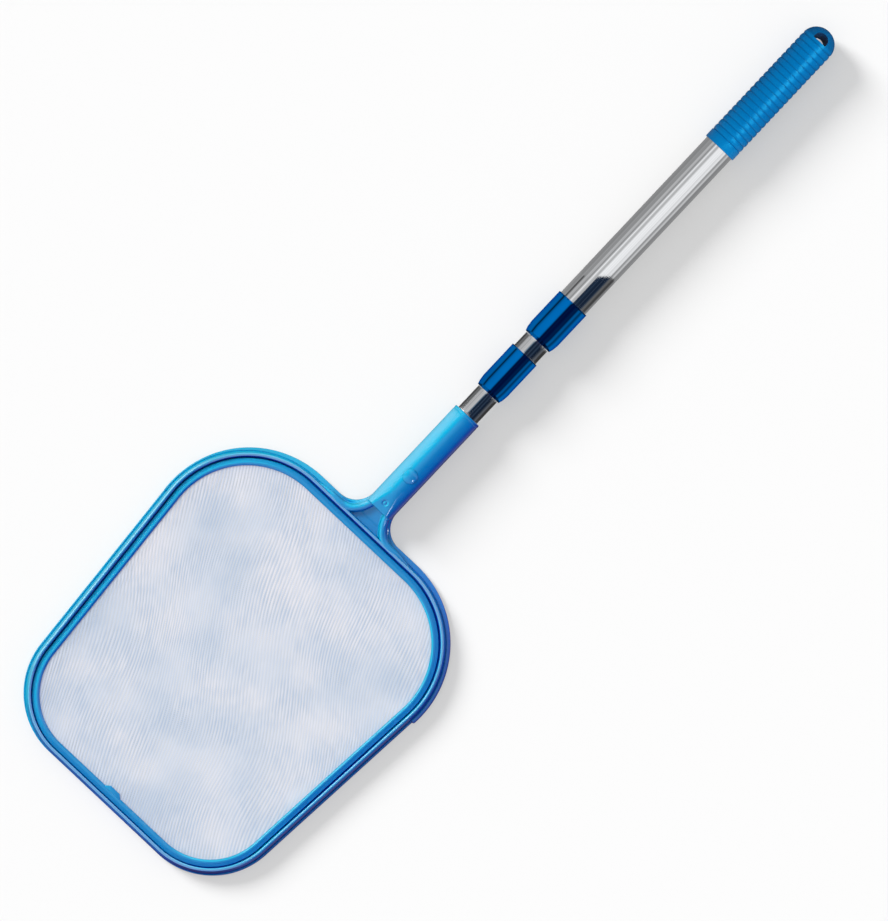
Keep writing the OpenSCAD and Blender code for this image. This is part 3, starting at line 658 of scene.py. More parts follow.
def flat_sheet():
    """Plain grid over the opening, with the group of points that the ring clamps."""
    xs = np.arange(X_OPEN_FRONT - 12, X_OPEN_BACK + 13, SHEET_STEP)
    ys = np.arange(-BACK_HALF_W - 12, BACK_HALF_W + 13, SHEET_STEP)
    grid = np.array([(x, y) for x in xs for y in ys])
    far = outside(grid)
    kept = {int(i): n for n, i in enumerate(np.flatnonzero(far < SHEET_REACH))}
    points = []
    for i in kept:
        x, y = grid[i]
        wave = noise.noise(Vector((x / 60, y / 60, 3.1))) + 0.35 * noise.noise(Vector((x / 26, y / 26, 8.4)))
        z = NET_LEVEL + (3.4 * wave - 0.8) * min(1, max(0, -far[i] / 16))
        points.append((x * MM, y * MM, z * MM))
    faces = []
    for i in range(len(xs) - 1):
        for k in range(len(ys) - 1):
            corners = [i * len(ys) + k, (i + 1) * len(ys) + k, (i + 1) * len(ys) + k + 1, i * len(ys) + k + 1]
            if all(c in kept for c in corners):
                faces.append([kept[c] for c in corners])
    mesh = bpy.data.meshes.new("slack_sheet")
    mesh.from_pydata(points, [], faces)
    sheet = bpy.data.objects.new("slack_sheet", mesh)
    bpy.context.collection.objects.link(sheet)
    clamped = sheet.vertex_groups.new(name="clamped")
    clamped.add([n for i, n in kept.items() if far[i] > -1], 1, "REPLACE")
    return sheet


def settle(sheet):
    """Lets the slack sheet fall on the floor under it and keeps its shape."""
    ground_mesh = bpy.data.meshes.new("ground")
    ground_mesh.from_pydata([(-0.6, -0.3, 0), (0.1, -0.3, 0), (0.1, 0.3, 0), (-0.6, 0.3, 0)], [], [(0, 1, 2, 3)])
    ground = bpy.data.objects.new("ground", ground_mesh)
    bpy.context.collection.objects.link(ground)
    ground.modifiers.new("Collision", "COLLISION")
    ground.collision.thickness_outer = 0.001
    cloth = sheet.modifiers.new("Cloth", "CLOTH")
    s = cloth.settings
    s.vertex_group_mass = "clamped"
    s.quality, s.mass, s.air_damping = 6, 0.02, 2
    s.tension_stiffness, s.compression_stiffness, s.shear_stiffness, s.bending_stiffness = 20, 20, 8, 0.4
    s.shrink_min = s.shrink_max = -NET_SLACK
    cloth.collision_settings.distance_min = 0.001
    scene = bpy.context.scene
    cloth.point_cache.frame_start, cloth.point_cache.frame_end = 1, 60
    for number in range(1, 41):
        scene.frame_set(number)
    done = bpy.data.meshes.new_from_object(sheet.evaluated_get(bpy.context.evaluated_depsgraph_get()))
    scene.frame_set(1)
    bpy.data.objects.remove(ground)
    sheet.modifiers.clear()
    sheet.data = done


net_sheet = flat_sheet()
settle(net_sheet)
heights = [v.co.z / MM for v in net_sheet.data.vertices]
print("net heights", min(heights), max(heights))

# The real mesh has about two threads to the millimetre; it is drawn with its
# warp 2.5 mm and its weft 1.6 mm apart so that the weave shows
WARP_PITCH, WARP_W, WEFT_PITCH, WEFT_W, THREAD_T = 2.5, 1.9, 1.6, 0.9, 0.2
WARP_TURN = math.radians(29)
THREAD_END = 4.6


def thread_lines(turn, pitch):
    """Straight lines at an angle to the pole, cut off under the clamp ring."""
    along = Vector((math.cos(turn), math.sin(turn)))
    across = Vector((-along.y, along.x))
    edge = [Vector((x + THREAD_END * math.cos(a), y + THREAD_END * math.sin(a))) for x, y, a in opening_path()]
    places = [p.dot(across) for p in edge]
    lines = []
    for n in range(math.ceil(min(places) / pitch + 0.3), math.floor(max(places) / pitch - 0.3) + 1):
        hits = []
        for i in range(len(edge)):
            one, two = places[i] - n * pitch, places[(i + 1) % len(edge)] - n * pitch
            if one * two < 0:
                hits.append(edge[i].lerp(edge[(i + 1) % len(edge)], one / (one - two)))
        if len(hits) == 2:
            lines.append([(h.x, h.y, 0) for h in sorted(hits, key=lambda h: h.dot(along))])
    return lines


def thread_tree():
    """Lays flat threads over the sheet along the lines that carry the modifier."""
    tree, source = node_group("lay_threads", [
        ("Sheet", "NodeSocketObject"), ("Material", "NodeSocketMaterial"), ("Width", "NodeSocketFloat"),
        ("Thickness", "NodeSocketFloat"), ("Lift", "NodeSocketFloat"), ("Piece Length", "NodeSocketFloat"),
        ("Wander", "NodeSocketFloat")])
    lines = add(tree, "GeometryNodeResampleCurve", {
        "Curve": source.outputs["Geometry"], "Length": source.outputs["Piece Length"]}, mode="LENGTH")
    sheet = add(tree, "GeometryNodeObjectInfo", {"Object": source.outputs["Sheet"]})
    place = add(tree, "GeometryNodeInputPosition")
    drift = add(tree, "ShaderNodeTexNoise", {"Vector": place.outputs[0], "Scale": 1 / (42 * MM), "Detail": 1})
    signed = add(tree, "ShaderNodeVectorMath", {0: drift.outputs["Color"], 1: (0.5, 0.5, 0.5)}, operation="SUBTRACT")
    astray = add(tree, "ShaderNodeVectorMath", {0: signed.outputs[0], "Scale": source.outputs["Wander"]}, operation="SCALE")
    moved = add(tree, "ShaderNodeVectorMath", {0: place.outputs[0], 1: astray.outputs[0]}, operation="ADD")
    above = add(tree, "ShaderNodeVectorMath", {0: moved.outputs[0], 1: (0, 0, 0.05)}, operation="ADD")
    fall = add(tree, "GeometryNodeRaycast", {
        "Target Geometry": sheet.outputs["Geometry"], "Source Position": above.outputs[0],
        "Ray Direction": (0, 0, -1), "Ray Length": 0.1})
    lift = add(tree, "ShaderNodeCombineXYZ", {"Z": source.outputs["Lift"]})
    landed = add(tree, "ShaderNodeVectorMath", {
        0: fall.outputs["Hit Position"], 1: lift.outputs[0]}, operation="ADD")
    laid = add(tree, "GeometryNodeSetPosition", {
        "Geometry": lines.outputs[0], "Selection": fall.outputs["Is Hit"], "Position": landed.outputs[0]})
    ease = add(tree, "ShaderNodeTexNoise", {"Vector": place.outputs[0], "Scale": 1 / (19 * MM), "Detail": 2})
    girth = add(tree, "ShaderNodeMapRange", {
        "Value": ease.outputs["Fac"], "From Min": 0.35, "From Max": 0.65, "To Min": 0.9, "To Max": 1.24})
    eased = add(tree, "GeometryNodeSetCurveRadius", {"Curve": laid.outputs[0], "Radius": girth.outputs["Result"]})
    level = add(tree, "GeometryNodeSetCurveNormal", {"Curve": eased.outputs[0]}, mode="Z_UP")
    flat = add(tree, "GeometryNodeCurvePrimitiveQuadrilateral", {
        "Width": source.outputs["Width"], "Height": source.outputs["Thickness"]})
    swept = add(tree, "GeometryNodeCurveToMesh", {
        "Curve": level.outputs[0], "Profile Curve": flat.outputs[0], "Fill Caps": True})
    end_group(tree, swept.outputs[0], source)
    return tree


def polyester_thread():
    """Woven polyester thread: bluish white and a little sheer, with painted shade
    in bluer streaks that follow the warp and come and go."""
    material, tree = start_material("polyester_thread_white")
    place = add(tree, "ShaderNodeTexCoord").outputs["Object"]
    drift = add(tree, "ShaderNodeTexNoise", {"Vector": place, "Scale": 1 / (85 * MM), "Detail": 2})
    split = add(tree, "ShaderNodeSeparateXYZ", {"Vector": place})
    # Painted shade: the front of the net, which sags lower, is a little deeper in tone
    net_front_painted_shade = add(tree, "ShaderNodeMapRange", {
        "Value": split.outputs["X"], "From Min": -430 * MM, "From Max": -250 * MM, "To Min": -0.07, "To Max": 0.03})
    tone = add(tree, "ShaderNodeMath", {0: drift.outputs["Fac"], 1: net_front_painted_shade.outputs["Result"]}, operation="ADD")
    colour = shades(tree, tone.outputs[0], [(0.3, "#d4e0f1"), (0.48, "#e8eefa"), (0.66, "#f8f8ff")])
    # Painted shade: bluer streaks about 2 mm apart, standing in for the shade in the gaps of the weave, over a
    # direction that wanders
    bend = add(tree, "ShaderNodeTexNoise", {"Vector": place, "Scale": 1 / (120 * MM), "Detail": 0})
    bent = add(tree, "ShaderNodeVectorMath", {0: bend.outputs["Color"], "Scale": 38 * MM}, operation="SCALE")
    moved = add(tree, "ShaderNodeVectorMath", {0: place, 1: bent.outputs[0]}, operation="ADD")
    turned_to_warp = add(tree, "ShaderNodeMapping", {
        "Vector": moved.outputs[0], "Rotation": (0, 0, -WARP_TURN)})
    drawn_out = add(tree, "ShaderNodeMapping", {
        "Vector": turned_to_warp.outputs[0], "Scale": (1 / (15 * MM), 1 / (1.9 * MM), 0)})
    gap_shade_noise = add(tree, "ShaderNodeTexNoise", {"Vector": drawn_out.outputs[0], "Scale": 1, "Detail": 1})
    # A wave texture of scale 1 repeats every 0.314 units
    gap_shade_bands = add(tree, "ShaderNodeTexWave", {
        "Vector": turned_to_warp.outputs[0], "Scale": 0.314 / (2.6 * MM), "Distortion": 2.5, "Detail": 1,
        "Detail Scale": 0.12}, wave_type="BANDS", bands_direction="Y")
    both = add(tree, "ShaderNodeMix", {"Factor": 0.42, 2: gap_shade_noise.outputs["Fac"], 3: gap_shade_bands.outputs["Fac"]})
    patches = add(tree, "ShaderNodeTexNoise", {"Vector": place, "Scale": 1 / (48 * MM), "Detail": 2})
    shown = add(tree, "ShaderNodeMapRange", {
        "Value": patches.outputs["Fac"], "From Min": 0.36, "From Max": 0.6, "To Min": 0.3, "To Max": 1})
    gap_shade_streak = add(tree, "ShaderNodeMapRange", {
        "Value": both.outputs[0], "From Min": 0.3, "From Max": 0.68, "To Min": 0, "To Max": 0.78})
    gap_shade_depth = add(tree, "ShaderNodeMath", {0: gap_shade_streak.outputs["Result"], 1: shown.outputs["Result"]}, operation="MULTIPLY")
    # Painted shade: the streaks mix the thread's colour towards a darker blue
    gap_shaded_colour = add(tree, "ShaderNodeMix", {
        "Factor": gap_shade_depth.outputs[0], 6: colour, 7: linear("#bccee6")}, data_type="RGBA").outputs[2]
    fibre = add(tree, "ShaderNodeTexNoise", {"Vector": place, "Scale": 1 / (1.4 * MM), "Detail": 2})
    bump = add(tree, "ShaderNodeBump", {
        "Height": fibre.outputs["Fac"], "Strength": 0.6, "Distance": 0.05 * MM})
    body = add(tree, "ShaderNodeBsdfPrincipled", {
        "Base Color": gap_shaded_colour, "Roughness": 0.55, "Normal": bump.outputs["Normal"]})
    through = add(tree, "ShaderNodeBsdfTranslucent", {"Color": gap_shaded_colour})
    sheer = add(tree, "ShaderNodeMixShader", {
        "Fac": 0.08, 1: body.outputs[0], 2: through.outputs[0]})
    end_material(tree, sheer)
    return material


thread_white = polyester_thread()
lay_threads = thread_tree()
weave = bmesh.new()
for turn, pitch, width, lift in (
        (WARP_TURN, WARP_PITCH, WARP_W, THREAD_T / 2),
        (WARP_TURN + math.pi / 2, WEFT_PITCH, WEFT_W, -THREAD_T / 2)):
    carrier = poly_curve("thread_lines", thread_lines(turn, pitch), False)
    laid_mesh = grow(
        carrier, lay_threads, sheet=net_sheet, material=thread_white, width=width * MM,
        thickness=THREAD_T * MM, lift=lift * MM, piece_length=5 * MM, wander=4.5 * MM)
    weave.from_mesh(laid_mesh)
    bpy.data.meshes.remove(laid_mesh)
net = piece("net_weave", weave, thread_white, 30)
bpy.data.objects.remove(net_sheet)
fix(net, "head", "net_fabric", "net")
print("net triangles", sum(len(p.vertices) - 2 for p in net.data.polygons))

# ---- Release button and its spring ----
# A round polypropylene button with a low dome sits in the hole on the socket.
# Its flange is held inside the tube, and a steel leaf spring lifts it.

BUTTON_LOW, BUTTON_HIGH = (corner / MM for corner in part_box("release_button"))
DOME_H, FLANGE_R, FLANGE_T = 1.8, 7.5, 1.5


def dome_outline():
    """Half outline of the button as (radius, height)."""
    rim_z = BUTTON_HIGH.z - DOME_H
    r = (BUTTON_R ** 2 + DOME_H ** 2) / (2 * DOME_H)
    dome = []
    for k in range(15):
        d = BUTTON_R * 0.965 * (1 - k / 14)
        dome.append((max(d, 0.02), BUTTON_HIGH.z - r + math.sqrt(r * r - d * d)))
    return [(0.02, BUTTON_LOW.z), (FLANGE_R, BUTTON_LOW.z), (FLANGE_R, BUTTON_LOW.z + FLANGE_T),
            (BUTTON_R, BUTTON_LOW.z + FLANGE_T), (BUTTON_R, rim_z - 0.35),
            (BUTTON_R - 0.07, rim_z - 0.1), (BUTTON_R - 0.2, rim_z + 0.03), *dome[1:]]


button_bm = skin([
    [(X_BUTTON + r * math.cos(a), r * math.sin(a), z) for r, z in dome_outline()]
    for a in (2 * math.pi * k / 72 for k in range(72))], endless=True)
button = piece("button_dome", button_bm, head_blue)
fix(button, "button", "head_plastic", "release_button")


def spring_steel():
    """Cold-rolled spring steel: grey and bright, with fine lines from rolling."""
    material, tree = start_material("spring_steel_rolled")
    place = add(tree, "ShaderNodeTexCoord").outputs["Object"]
    stretch = add(tree, "ShaderNodeMapping", {"Vector": place, "Scale": (60, 2500, 2500)})
    lines = add(tree, "ShaderNodeTexNoise", {"Vector": stretch.outputs[0], "Scale": 1, "Detail": 3})
    rough = add(tree, "ShaderNodeMapRange", {"Value": lines.outputs["Fac"], "To Min": 0.2, "To Max": 0.42})
    shader = add(tree, "ShaderNodeBsdfPrincipled", {
        "Base Color": shades(tree, lines.outputs["Fac"], [(0.3, "#a9adb2"), (0.7, "#c4c8cc")]),
        "Metallic": 1, "Roughness": rough.outputs["Result"]})
    end_material(tree, shader)
    return material


def dress(node, material):
    """Gives a CAD node its finish."""
    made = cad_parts[node]
    made.data.materials.clear()
    made.data.materials.append(material)


steel = spring_steel()
dress("button_spring", steel)

# ---- Pole tubes ----
# Three drawn aluminium tubes slide in each other. Drawing leaves fine straight
# lines along them, and the bright, lightly polished wall mirrors the room.

TUBE_R = 14


def drawn_aluminium():
    """Drawn aluminium: bright silver, with straight lines along the tube."""
    material, tree = start_material("aluminium_drawn_bright")
    place = add(tree, "ShaderNodeTexCoord").outputs["Object"]
    split = add(tree, "ShaderNodeSeparateXYZ", {"Vector": place})
    up = add(tree, "ShaderNodeMath", {0: split.outputs["Z"], 1: POLE_Z * MM}, operation="SUBTRACT")
    angle = add(tree, "ShaderNodeMath", {0: split.outputs["Y"], 1: up.outputs[0]}, operation="ARCTAN2")
    # Round the tube the lines are 1.2 mm apart, and along it they run for about 0.6 m
    around = add(tree, "ShaderNodeMath", {0: angle.outputs[0], 1: TUBE_R / 1.2}, operation="MULTIPLY")
    along = add(tree, "ShaderNodeMath", {0: split.outputs["X"], 1: 1.6}, operation="MULTIPLY")
    spot = add(tree, "ShaderNodeCombineXYZ", {"X": along.outputs[0], "Y": around.outputs[0]})
    lines = add(tree, "ShaderNodeTexNoise", {"Vector": spot.outputs[0], "Scale": 1, "Detail": 4, "Roughness": 0.7})
    bump = add(tree, "ShaderNodeBump", {
        "Height": lines.outputs["Fac"], "Strength": 1, "Distance": 0.02 * MM})
    rough = add(tree, "ShaderNodeMapRange", {"Value": lines.outputs["Fac"], "To Min": 0.03, "To Max": 0.11})
    shader = add(tree, "ShaderNodeBsdfPrincipled", {
        "Base Color": shades(tree, lines.outputs["Fac"], [(0.3, "#dfe1e4"), (0.7, "#f4f5f7")]),
        "Metallic": 1, "Roughness": rough.outputs["Result"], "Normal": bump.outputs["Normal"]})
    end_material(tree, shader)
    return material


aluminium = drawn_aluminium()
for node in ("inner_tube", "middle_tube", "outer_tube"):
    dress(node, aluminium)

# ---- Collars ----
# A blue collar is glued over the front end of the middle tube and of the outer
# tube, and guides the thinner tube. It is moulded with a rounded taper in front
# and has a deep, mirror-like lacquered finish.


def collar_gloss():
    """Lacquered collar: saturated blue that mirrors like metal, in straight
    bands that run on over the rounded front."""
    material, tree = start_material("collar_lacquer_blue")
    coords = add(tree, "ShaderNodeTexCoord")
    flow = add(tree, "ShaderNodeTexNoise", {"Vector": coords.outputs["Object"], "Scale": 1 / (30 * MM), "Detail": 3})
    grain = add(tree, "ShaderNodeTexNoise", {"Vector": coords.outputs["Object"], "Scale": 1 / (1.1 * MM), "Detail": 2})
    flatter = add(tree, "ShaderNodeVectorMath", {0: coords.outputs["Normal"], 1: (0.08, 1, 1)}, operation="MULTIPLY")
    world = add(tree, "ShaderNodeVectorTransform", {0: flatter.outputs[0]},
                vector_type="NORMAL", convert_from="OBJECT", convert_to="WORLD")
    bump = add(tree, "ShaderNodeBump", {
        "Height": grain.outputs["Fac"], "Strength": 1, "Distance": 0.0008 * MM, "Normal": world.outputs[0]})
    shader = add(tree, "ShaderNodeBsdfPrincipled", {
        "Base Color": shades(tree, flow.outputs["Fac"], [(0.3, "#0070c4"), (0.7, "#0078ce")]),
        "Metallic": 1, "Roughness": 0.05, "Specular Tint": linear("#0c98c8"), "Normal": bump.outputs["Normal"]})
    end_material(tree, shader)
    return material


collar_blue = collar_gloss()


def collar_outline(node, tube_r, guide_r):
    """Outline of a collar as (x, radius)."""
    low, high = (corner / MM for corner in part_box(node))
    r = (high.y - low.y) / 2
    lip = guide_r + 1
    return rounded([
        (low.x, guide_r + 0.1, 0.1), (low.x, lip + 0.4, 0.3), (low.x + 3.2, lip + 0.66 * (r - lip), 3),
        (low.x + 9, r, 6), (high.x, r, 0.35), (high.x, tube_r + 0.05, 0.05),
        (low.x + 11, tube_r + 0.05, 0), (low.x + 11, guide_r + 0.1, 0)], 7)


for node, name, body, tube_r, guide_r in (
        ("lower_collar", "collar_lower", "middle_pole", 12.1, 10.6),
        ("upper_collar", "collar_upper", "handle", 14, 12.1)):
    collar = piece(name, turned(collar_outline(node, tube_r, guide_r)), collar_blue)
    fix(collar, body, "collar_plastic", node)

# ---- Hand grip ----
# The grip is a soft blue vinyl sleeve with moulded rings, pushed over the outer
# tube. It has a smooth cuff, a round end and a half-round hole to hang it by.

GRIP_LOW, GRIP_HIGH = (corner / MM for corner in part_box("hand_grip"))
GRIP_R, CUFF_L, RIB_DEPTH, GRIP_NOSE = 15.5, 9, 0.75, 22
HOLE_R, HOLE_L, HOLE_BACK, HOLE_TILT = 6.55, 8.6, 3.4, math.radians(12)
NOSE_X = GRIP_HIGH.x - GRIP_R
RIB_COUNT = 20


def satin_vinyl():
    """Dip-moulded soft vinyl: satin, with painted shade that darkens it down in the grooves between
    its rings, and highlights that stay bluish green."""
    material, tree = start_material("vinyl_blue_satin")
    place = add(tree, "ShaderNodeTexCoord").outputs["Object"]
    flow = add(tree, "ShaderNodeTexNoise", {"Vector": place, "Scale": 1 / (38 * MM), "Detail": 3})
    from_axis = add(tree, "ShaderNodeVectorMath", {0: place, 1: (0, 0, POLE_Z * MM)}, operation="SUBTRACT")
    squashed = add(tree, "ShaderNodeVectorMath", {0: from_axis.outputs[0], 1: (0, 1, 1)}, operation="MULTIPLY")
    radius = add(tree, "ShaderNodeVectorMath", {0: squashed.outputs[0]}, operation="LENGTH")
    # Painted shade: the colour darkens towards the bottom of the grooves between the rings
    height = add(tree, "ShaderNodeMapRange", {
        "Value": radius.outputs["Value"], "From Min": (GRIP_R - RIB_DEPTH) * MM, "From Max": (GRIP_R - 0.25) * MM})
    colour = add(tree, "ShaderNodeMix", {
        "Factor": height.outputs["Result"], 6: linear("#0062a2"),
        7: shades(tree, flow.outputs["Fac"], [(0.3, "#0071ba"), (0.7, "#0079c1")])}, data_type="RGBA").outputs[2]
    grain = add(tree, "ShaderNodeTexNoise", {"Vector": place, "Scale": 1 / (1 * MM), "Detail": 2})
    scuff = add(tree, "ShaderNodeTexNoise", {"Vector": place, "Scale": 1 / (9 * MM), "Detail": 4})
    rough = add(tree, "ShaderNodeMapRange", {
        "Value": scuff.outputs["Fac"], "From Min": 0.3, "From Max": 0.7, "To Min": 0.25, "To Max": 0.34})
    bump = add(tree, "ShaderNodeBump", {
        "Height": grain.outputs["Fac"], "Strength": 1, "Distance": 0.02 * MM})
    shader = add(tree, "ShaderNodeBsdfPrincipled", {
        "Base Color": colour, "Roughness": rough.outputs["Result"], "IOR": 1.49, "Specular IOR Level": 0.8,
        "Specular Tint": linear("#40d8e2"), "Normal": bump.outputs["Normal"]})
    end_material(tree, shader)
    return material


vinyl_blue = satin_vinyl()


def grip_outline():
    """Outline of the grip as (x, radius), rings included."""
    points = [(GRIP_LOW.x, 14.05), *rounded([
        (GRIP_LOW.x, 14.05, 0), (GRIP_LOW.x, GRIP_R, 0.7), (GRIP_LOW.x + CUFF_L - 0.6, GRIP_R, 0.5),
        (GRIP_LOW.x + CUFF_L, GRIP_R - RIB_DEPTH, 0)], 4)[1:-1]]
    start = GRIP_LOW.x + CUFF_L
    pitch = (NOSE_X - start) / RIB_COUNT
    for i in range(RIB_COUNT):
        for k in range(9):
            t = k / 9
            rise = math.sin(math.pi * t) ** 0.5 if t else 0
            points.append((start + (i + t) * pitch, GRIP_R - RIB_DEPTH * (1 - rise)))
    points.append((NOSE_X, GRIP_R - RIB_DEPTH))
    for k in range(1, 17):
        a = math.pi / 2 * k / 16
        points.append((NOSE_X + 0.3 + (GRIP_R - 0.3) * math.sin(a), max(0.02, (GRIP_R - 0.15) * math.cos(a))))
    inner = GRIP_HIGH.x - GRIP_NOSE
    points += [(inner, 0.02), (inner, 14.05)]
    return points


grip = piece("grip_sleeve", turned(grip_outline(), 112), vinyl_blue, 50)


def hang_hole():
    """Half-round hole through the grip's end, closer to the mouth lower down."""
    centre = GRIP_HIGH.x - HOLE_BACK - HOLE_R
    flat_x = centre + HOLE_R - HOLE_L
    reach = math.acos((flat_x - centre) / HOLE_R)
    arc = [(centre + HOLE_R * math.cos(a), HOLE_R * math.sin(a))
           for a in (-reach + 2 * reach * k / 40 for k in range(41))]
    outline = rounded([(x, y, 0.5 if i in (0, 40) else 0) for i, (x, y) in enumerate(arc)], 3)
    return skin([
        [(x + math.tan(HOLE_TILT) * (z - POLE_Z - GRIP_R), y, z) for x, y in outline]
        for z in (-4, 36)])


cut(grip, hang_hole())
fix(grip, "handle", "grip_plastic", "hand_grip")

# ---- Twist locks and plugs ----
# Inside each sliding joint an acetal expander sleeve is spread by a brass cone
# nut on a steel screw, which turns in a plug at the end of the thinner tube.

lock_black = moulded_plastic("nylon_lock_grey", [(0.3, "#3d4248"), (0.7, "#484e55")], 0.4, 0.8, 0.01)
acetal_white = moulded_plastic("acetal_natural_white", [(0.3, "#d6dbde"), (0.7, "#e3e7e9")], 0.3, 0.8, 0.006)


def turned_metal(name, stops, low, high):
    """Metal turned on a lathe: fine rings round the pole's axis."""
    material, tree = start_material(name)
    place = add(tree, "ShaderNodeTexCoord").outputs["Object"]
    stretch = add(tree, "ShaderNodeMapping", {"Vector": place, "Scale": (1600, 40, 40)})
    lines = add(tree, "ShaderNodeTexNoise", {"Vector": stretch.outputs[0], "Scale": 1, "Detail": 3})
    rough = add(tree, "ShaderNodeMapRange", {"Value": lines.outputs["Fac"], "To Min": low, "To Max": high})
    shader = add(tree, "ShaderNodeBsdfPrincipled", {
        "Base Color": shades(tree, lines.outputs["Fac"], stops),
        "Metallic": 1, "Roughness": rough.outputs["Result"]})
    end_material(tree, shader)
    return material


brass = turned_metal("brass_turned", [(0.3, "#b5892f"), (0.7, "#d0a347")], 0.2, 0.35)
screw_steel = turned_metal("steel_zinc_plated", [(0.3, "#9fa5ab"), (0.7, "#c3c8cd")], 0.25, 0.4)
for pole in ("inner", "middle"):
    dress(f"{pole}_lock_plug", lock_black)
    dress(f"{pole}_lock_screw", screw_steel)
    dress(f"{pole}_keeper_nut", screw_steel)
    dress(f"{pole}_expander", acetal_white)
    dress(f"{pole}_cone_nut", brass)
dress("outer_end_plug", lock_black)

# ---- Floor, light and camera ----
# The tool lies on a plain white floor under soft studio light from its left
# side. Its mirror-like pole sees light and dark cards, and its head bright panes.


# Of the floor's white, this much is its own glow to the camera and the rest is
# light on it, so that little colour from the blue pieces lies on it
FLOOR_GLOW, FLOOR_GREY = 0.395, 0.41


def floor_white():
    """Matt white studio floor that keeps soft shadows."""
    material, tree = start_material("studio_floor_white")
    matt = add(tree, "ShaderNodeBsdfDiffuse", {"Color": (*[FLOOR_GREY] * 3, 1)})
    ray = add(tree, "ShaderNodeLightPath")
    shown = add(tree, "ShaderNodeMath", {0: ray.outputs["Is Camera Ray"], 1: FLOOR_GLOW}, operation="MULTIPLY")
    glow = add(tree, "ShaderNodeEmission", {"Strength": shown.outputs[0]})
    end_material(tree, add(tree, "ShaderNodeAddShader", {0: matt.outputs[0], 1: glow.outputs[0]}))
    return material


floor_bm = bmesh.new()
bmesh.ops.create_grid(floor_bm, x_segments=1, y_segments=1, size=25)
floor = piece("studio_floor", floor_bm, floor_white())
floor.visible_glossy = False


def level_ramp(tree, factor, stops, low, high):
    """Light levels, or colours, at places between low and high."""
    ramp = add(tree, "ShaderNodeValToRGB", {"Fac": factor})
    elements = ramp.color_ramp.elements
    while len(elements) < len(stops):
        elements.new(0.5)
    for element, (place, level) in zip(elements, stops):
        element.position = (place - low) / (high - low)
        element.color = (*level, 1) if isinstance(level, tuple) else (level, level, level, 1)
    return ramp.outputs["Color"]


def turn_from_up(tree, y, z):
    """Angle from straight up towards the pole's right side, -180 to 180 degrees as 0 to 1."""
    right = add(tree, "ShaderNodeMath", {0: y, 1: -1}, operation="MULTIPLY")
    angle = add(tree, "ShaderNodeMath", {0: right.outputs[0], 1: z}, operation="ARCTAN2")
    return add(tree, "ShaderNodeMapRange", {
        "Value": angle.outputs[0], "From Min": -math.pi, "From Max": math.pi}).outputs["Result"]


# Levels of the cards by the angle from straight up, in degrees
NAVY, INK, FAINT = (0.014, 0.028, 0.055), (0.008, 0.016, 0.034), (0.04, 0.06, 0.1)
TUBE_CARDS = [
    (-180, 0.4), (-150, 0.3), (-95, 0.28), (-84, 0.36), (-73, 0.3), (-62, 0.32), (-57, 0.54), (-45, 0.5),
    (-38, 0.28), (-32, 0.45), (-24, 1), (-18, 0.68), (-12, 0.5), (-7, 0.48), (-2, 0.86), (6, 0.98), (32, 0.98),
    (38, 0.72), (43, 0.9), (57, 0.92), (62, 0.36), (72, 0.38), (82, 0.68), (88, 0.6), (93, 0.27), (150, 0.3),
    (180, 0.4)]
DARK_CARDS = [
    (-180, 0.4), (-95, 0.28), (-84, 0.34), (-77, 0.09), (-70, 0.07), (-64, 0.3), (-57, 0.52),
    (-45, 0.46), (-38, 0.28), (-32, 0.45), (-24, 0.95), (-18, 0.68), (-12, 0.5), (-7, 0.48), (-3, 0.6),
    (0, NAVY), (14, NAVY), (17, FAINT), (20, NAVY), (36, INK), (40, FAINT), (44, INK), (59, NAVY),
    (64, (0.05, 0.065, 0.09)), (74, 0.14), (84, 0.12), (92, 0.06), (106, 0.06), (114, 0.14), (124, 0.22),
    (180, 0.35)]
THIN_CARDS = [
    (-180, 0.3), (-140, 0.08), (-118, 0.06), (-106, 0.16), (-92, 0.15), (-84, 0.12), (-76, 0.42), (-60, 0.52),
    (-50, 0.42), (-42, 0.58), (-35, 0.5), (-27, 0.62), (-20, 0.48), (-13, (0.1, 0.17, 0.25)), (-6, NAVY), (0, INK),
    (9, NAVY), (13, FAINT), (17, NAVY), (22, INK), (33, NAVY), (38, FAINT), (42, NAVY), (50, INK), (60, INK),
    (72, (0.06, 0.07, 0.085)), (86, (0.12, 0.13, 0.15)), (100, 0.05), (128, 0.035), (145, 0.08), (180, 0.3)]
COLLAR_NAVY, COLLAR_INK = (0.05, 0.045, 0.09), (0.03, 0.026, 0.068)
COLLAR_CARDS = [
    (-180, 0.7), (-130, 0.66), (-98, 0.6), (-84, 0.6), (-77, 0.36), (-72, 0.05), (-67, 0.09), (-61, 0.45),
    (-50, 0.72), (-23, 0.8), (-13, 0.76), (-8, 0.6), (-5, 0.2), (-2, COLLAR_INK), (4, COLLAR_INK), (9, COLLAR_NAVY),
    (16, COLLAR_INK), (24, COLLAR_INK), (35, (0.07, 0.07, 0.11)), (48, (0.06, 0.055, 0.09)), (53, 0.3), (59, 0.5),
    (66, 0.44), (73, 0.2), (80, 0.2), (88, 0.4), (98, 0.7), (130, 0.66), (180, 0.7)]
GRIP_CARDS = [(-180, 0.04), (0, 0.05), (18, 0.5), (26, 5.4), (39, 5.4), (50, 0.5), (70, 0.05), (180, 0.04)]
# The cards in the order that they hang along the pole, each from an x in mm
CARD_ROW = [
    (2, THIN_CARDS), (27.4, COLLAR_CARDS), (72.6, THIN_CARDS), (87.9, COLLAR_CARDS), (132, DARK_CARDS),
    (163.5, TUBE_CARDS), (324, GRIP_CARDS)]
CARD_R, CARD_SLANT = 80, 0.095


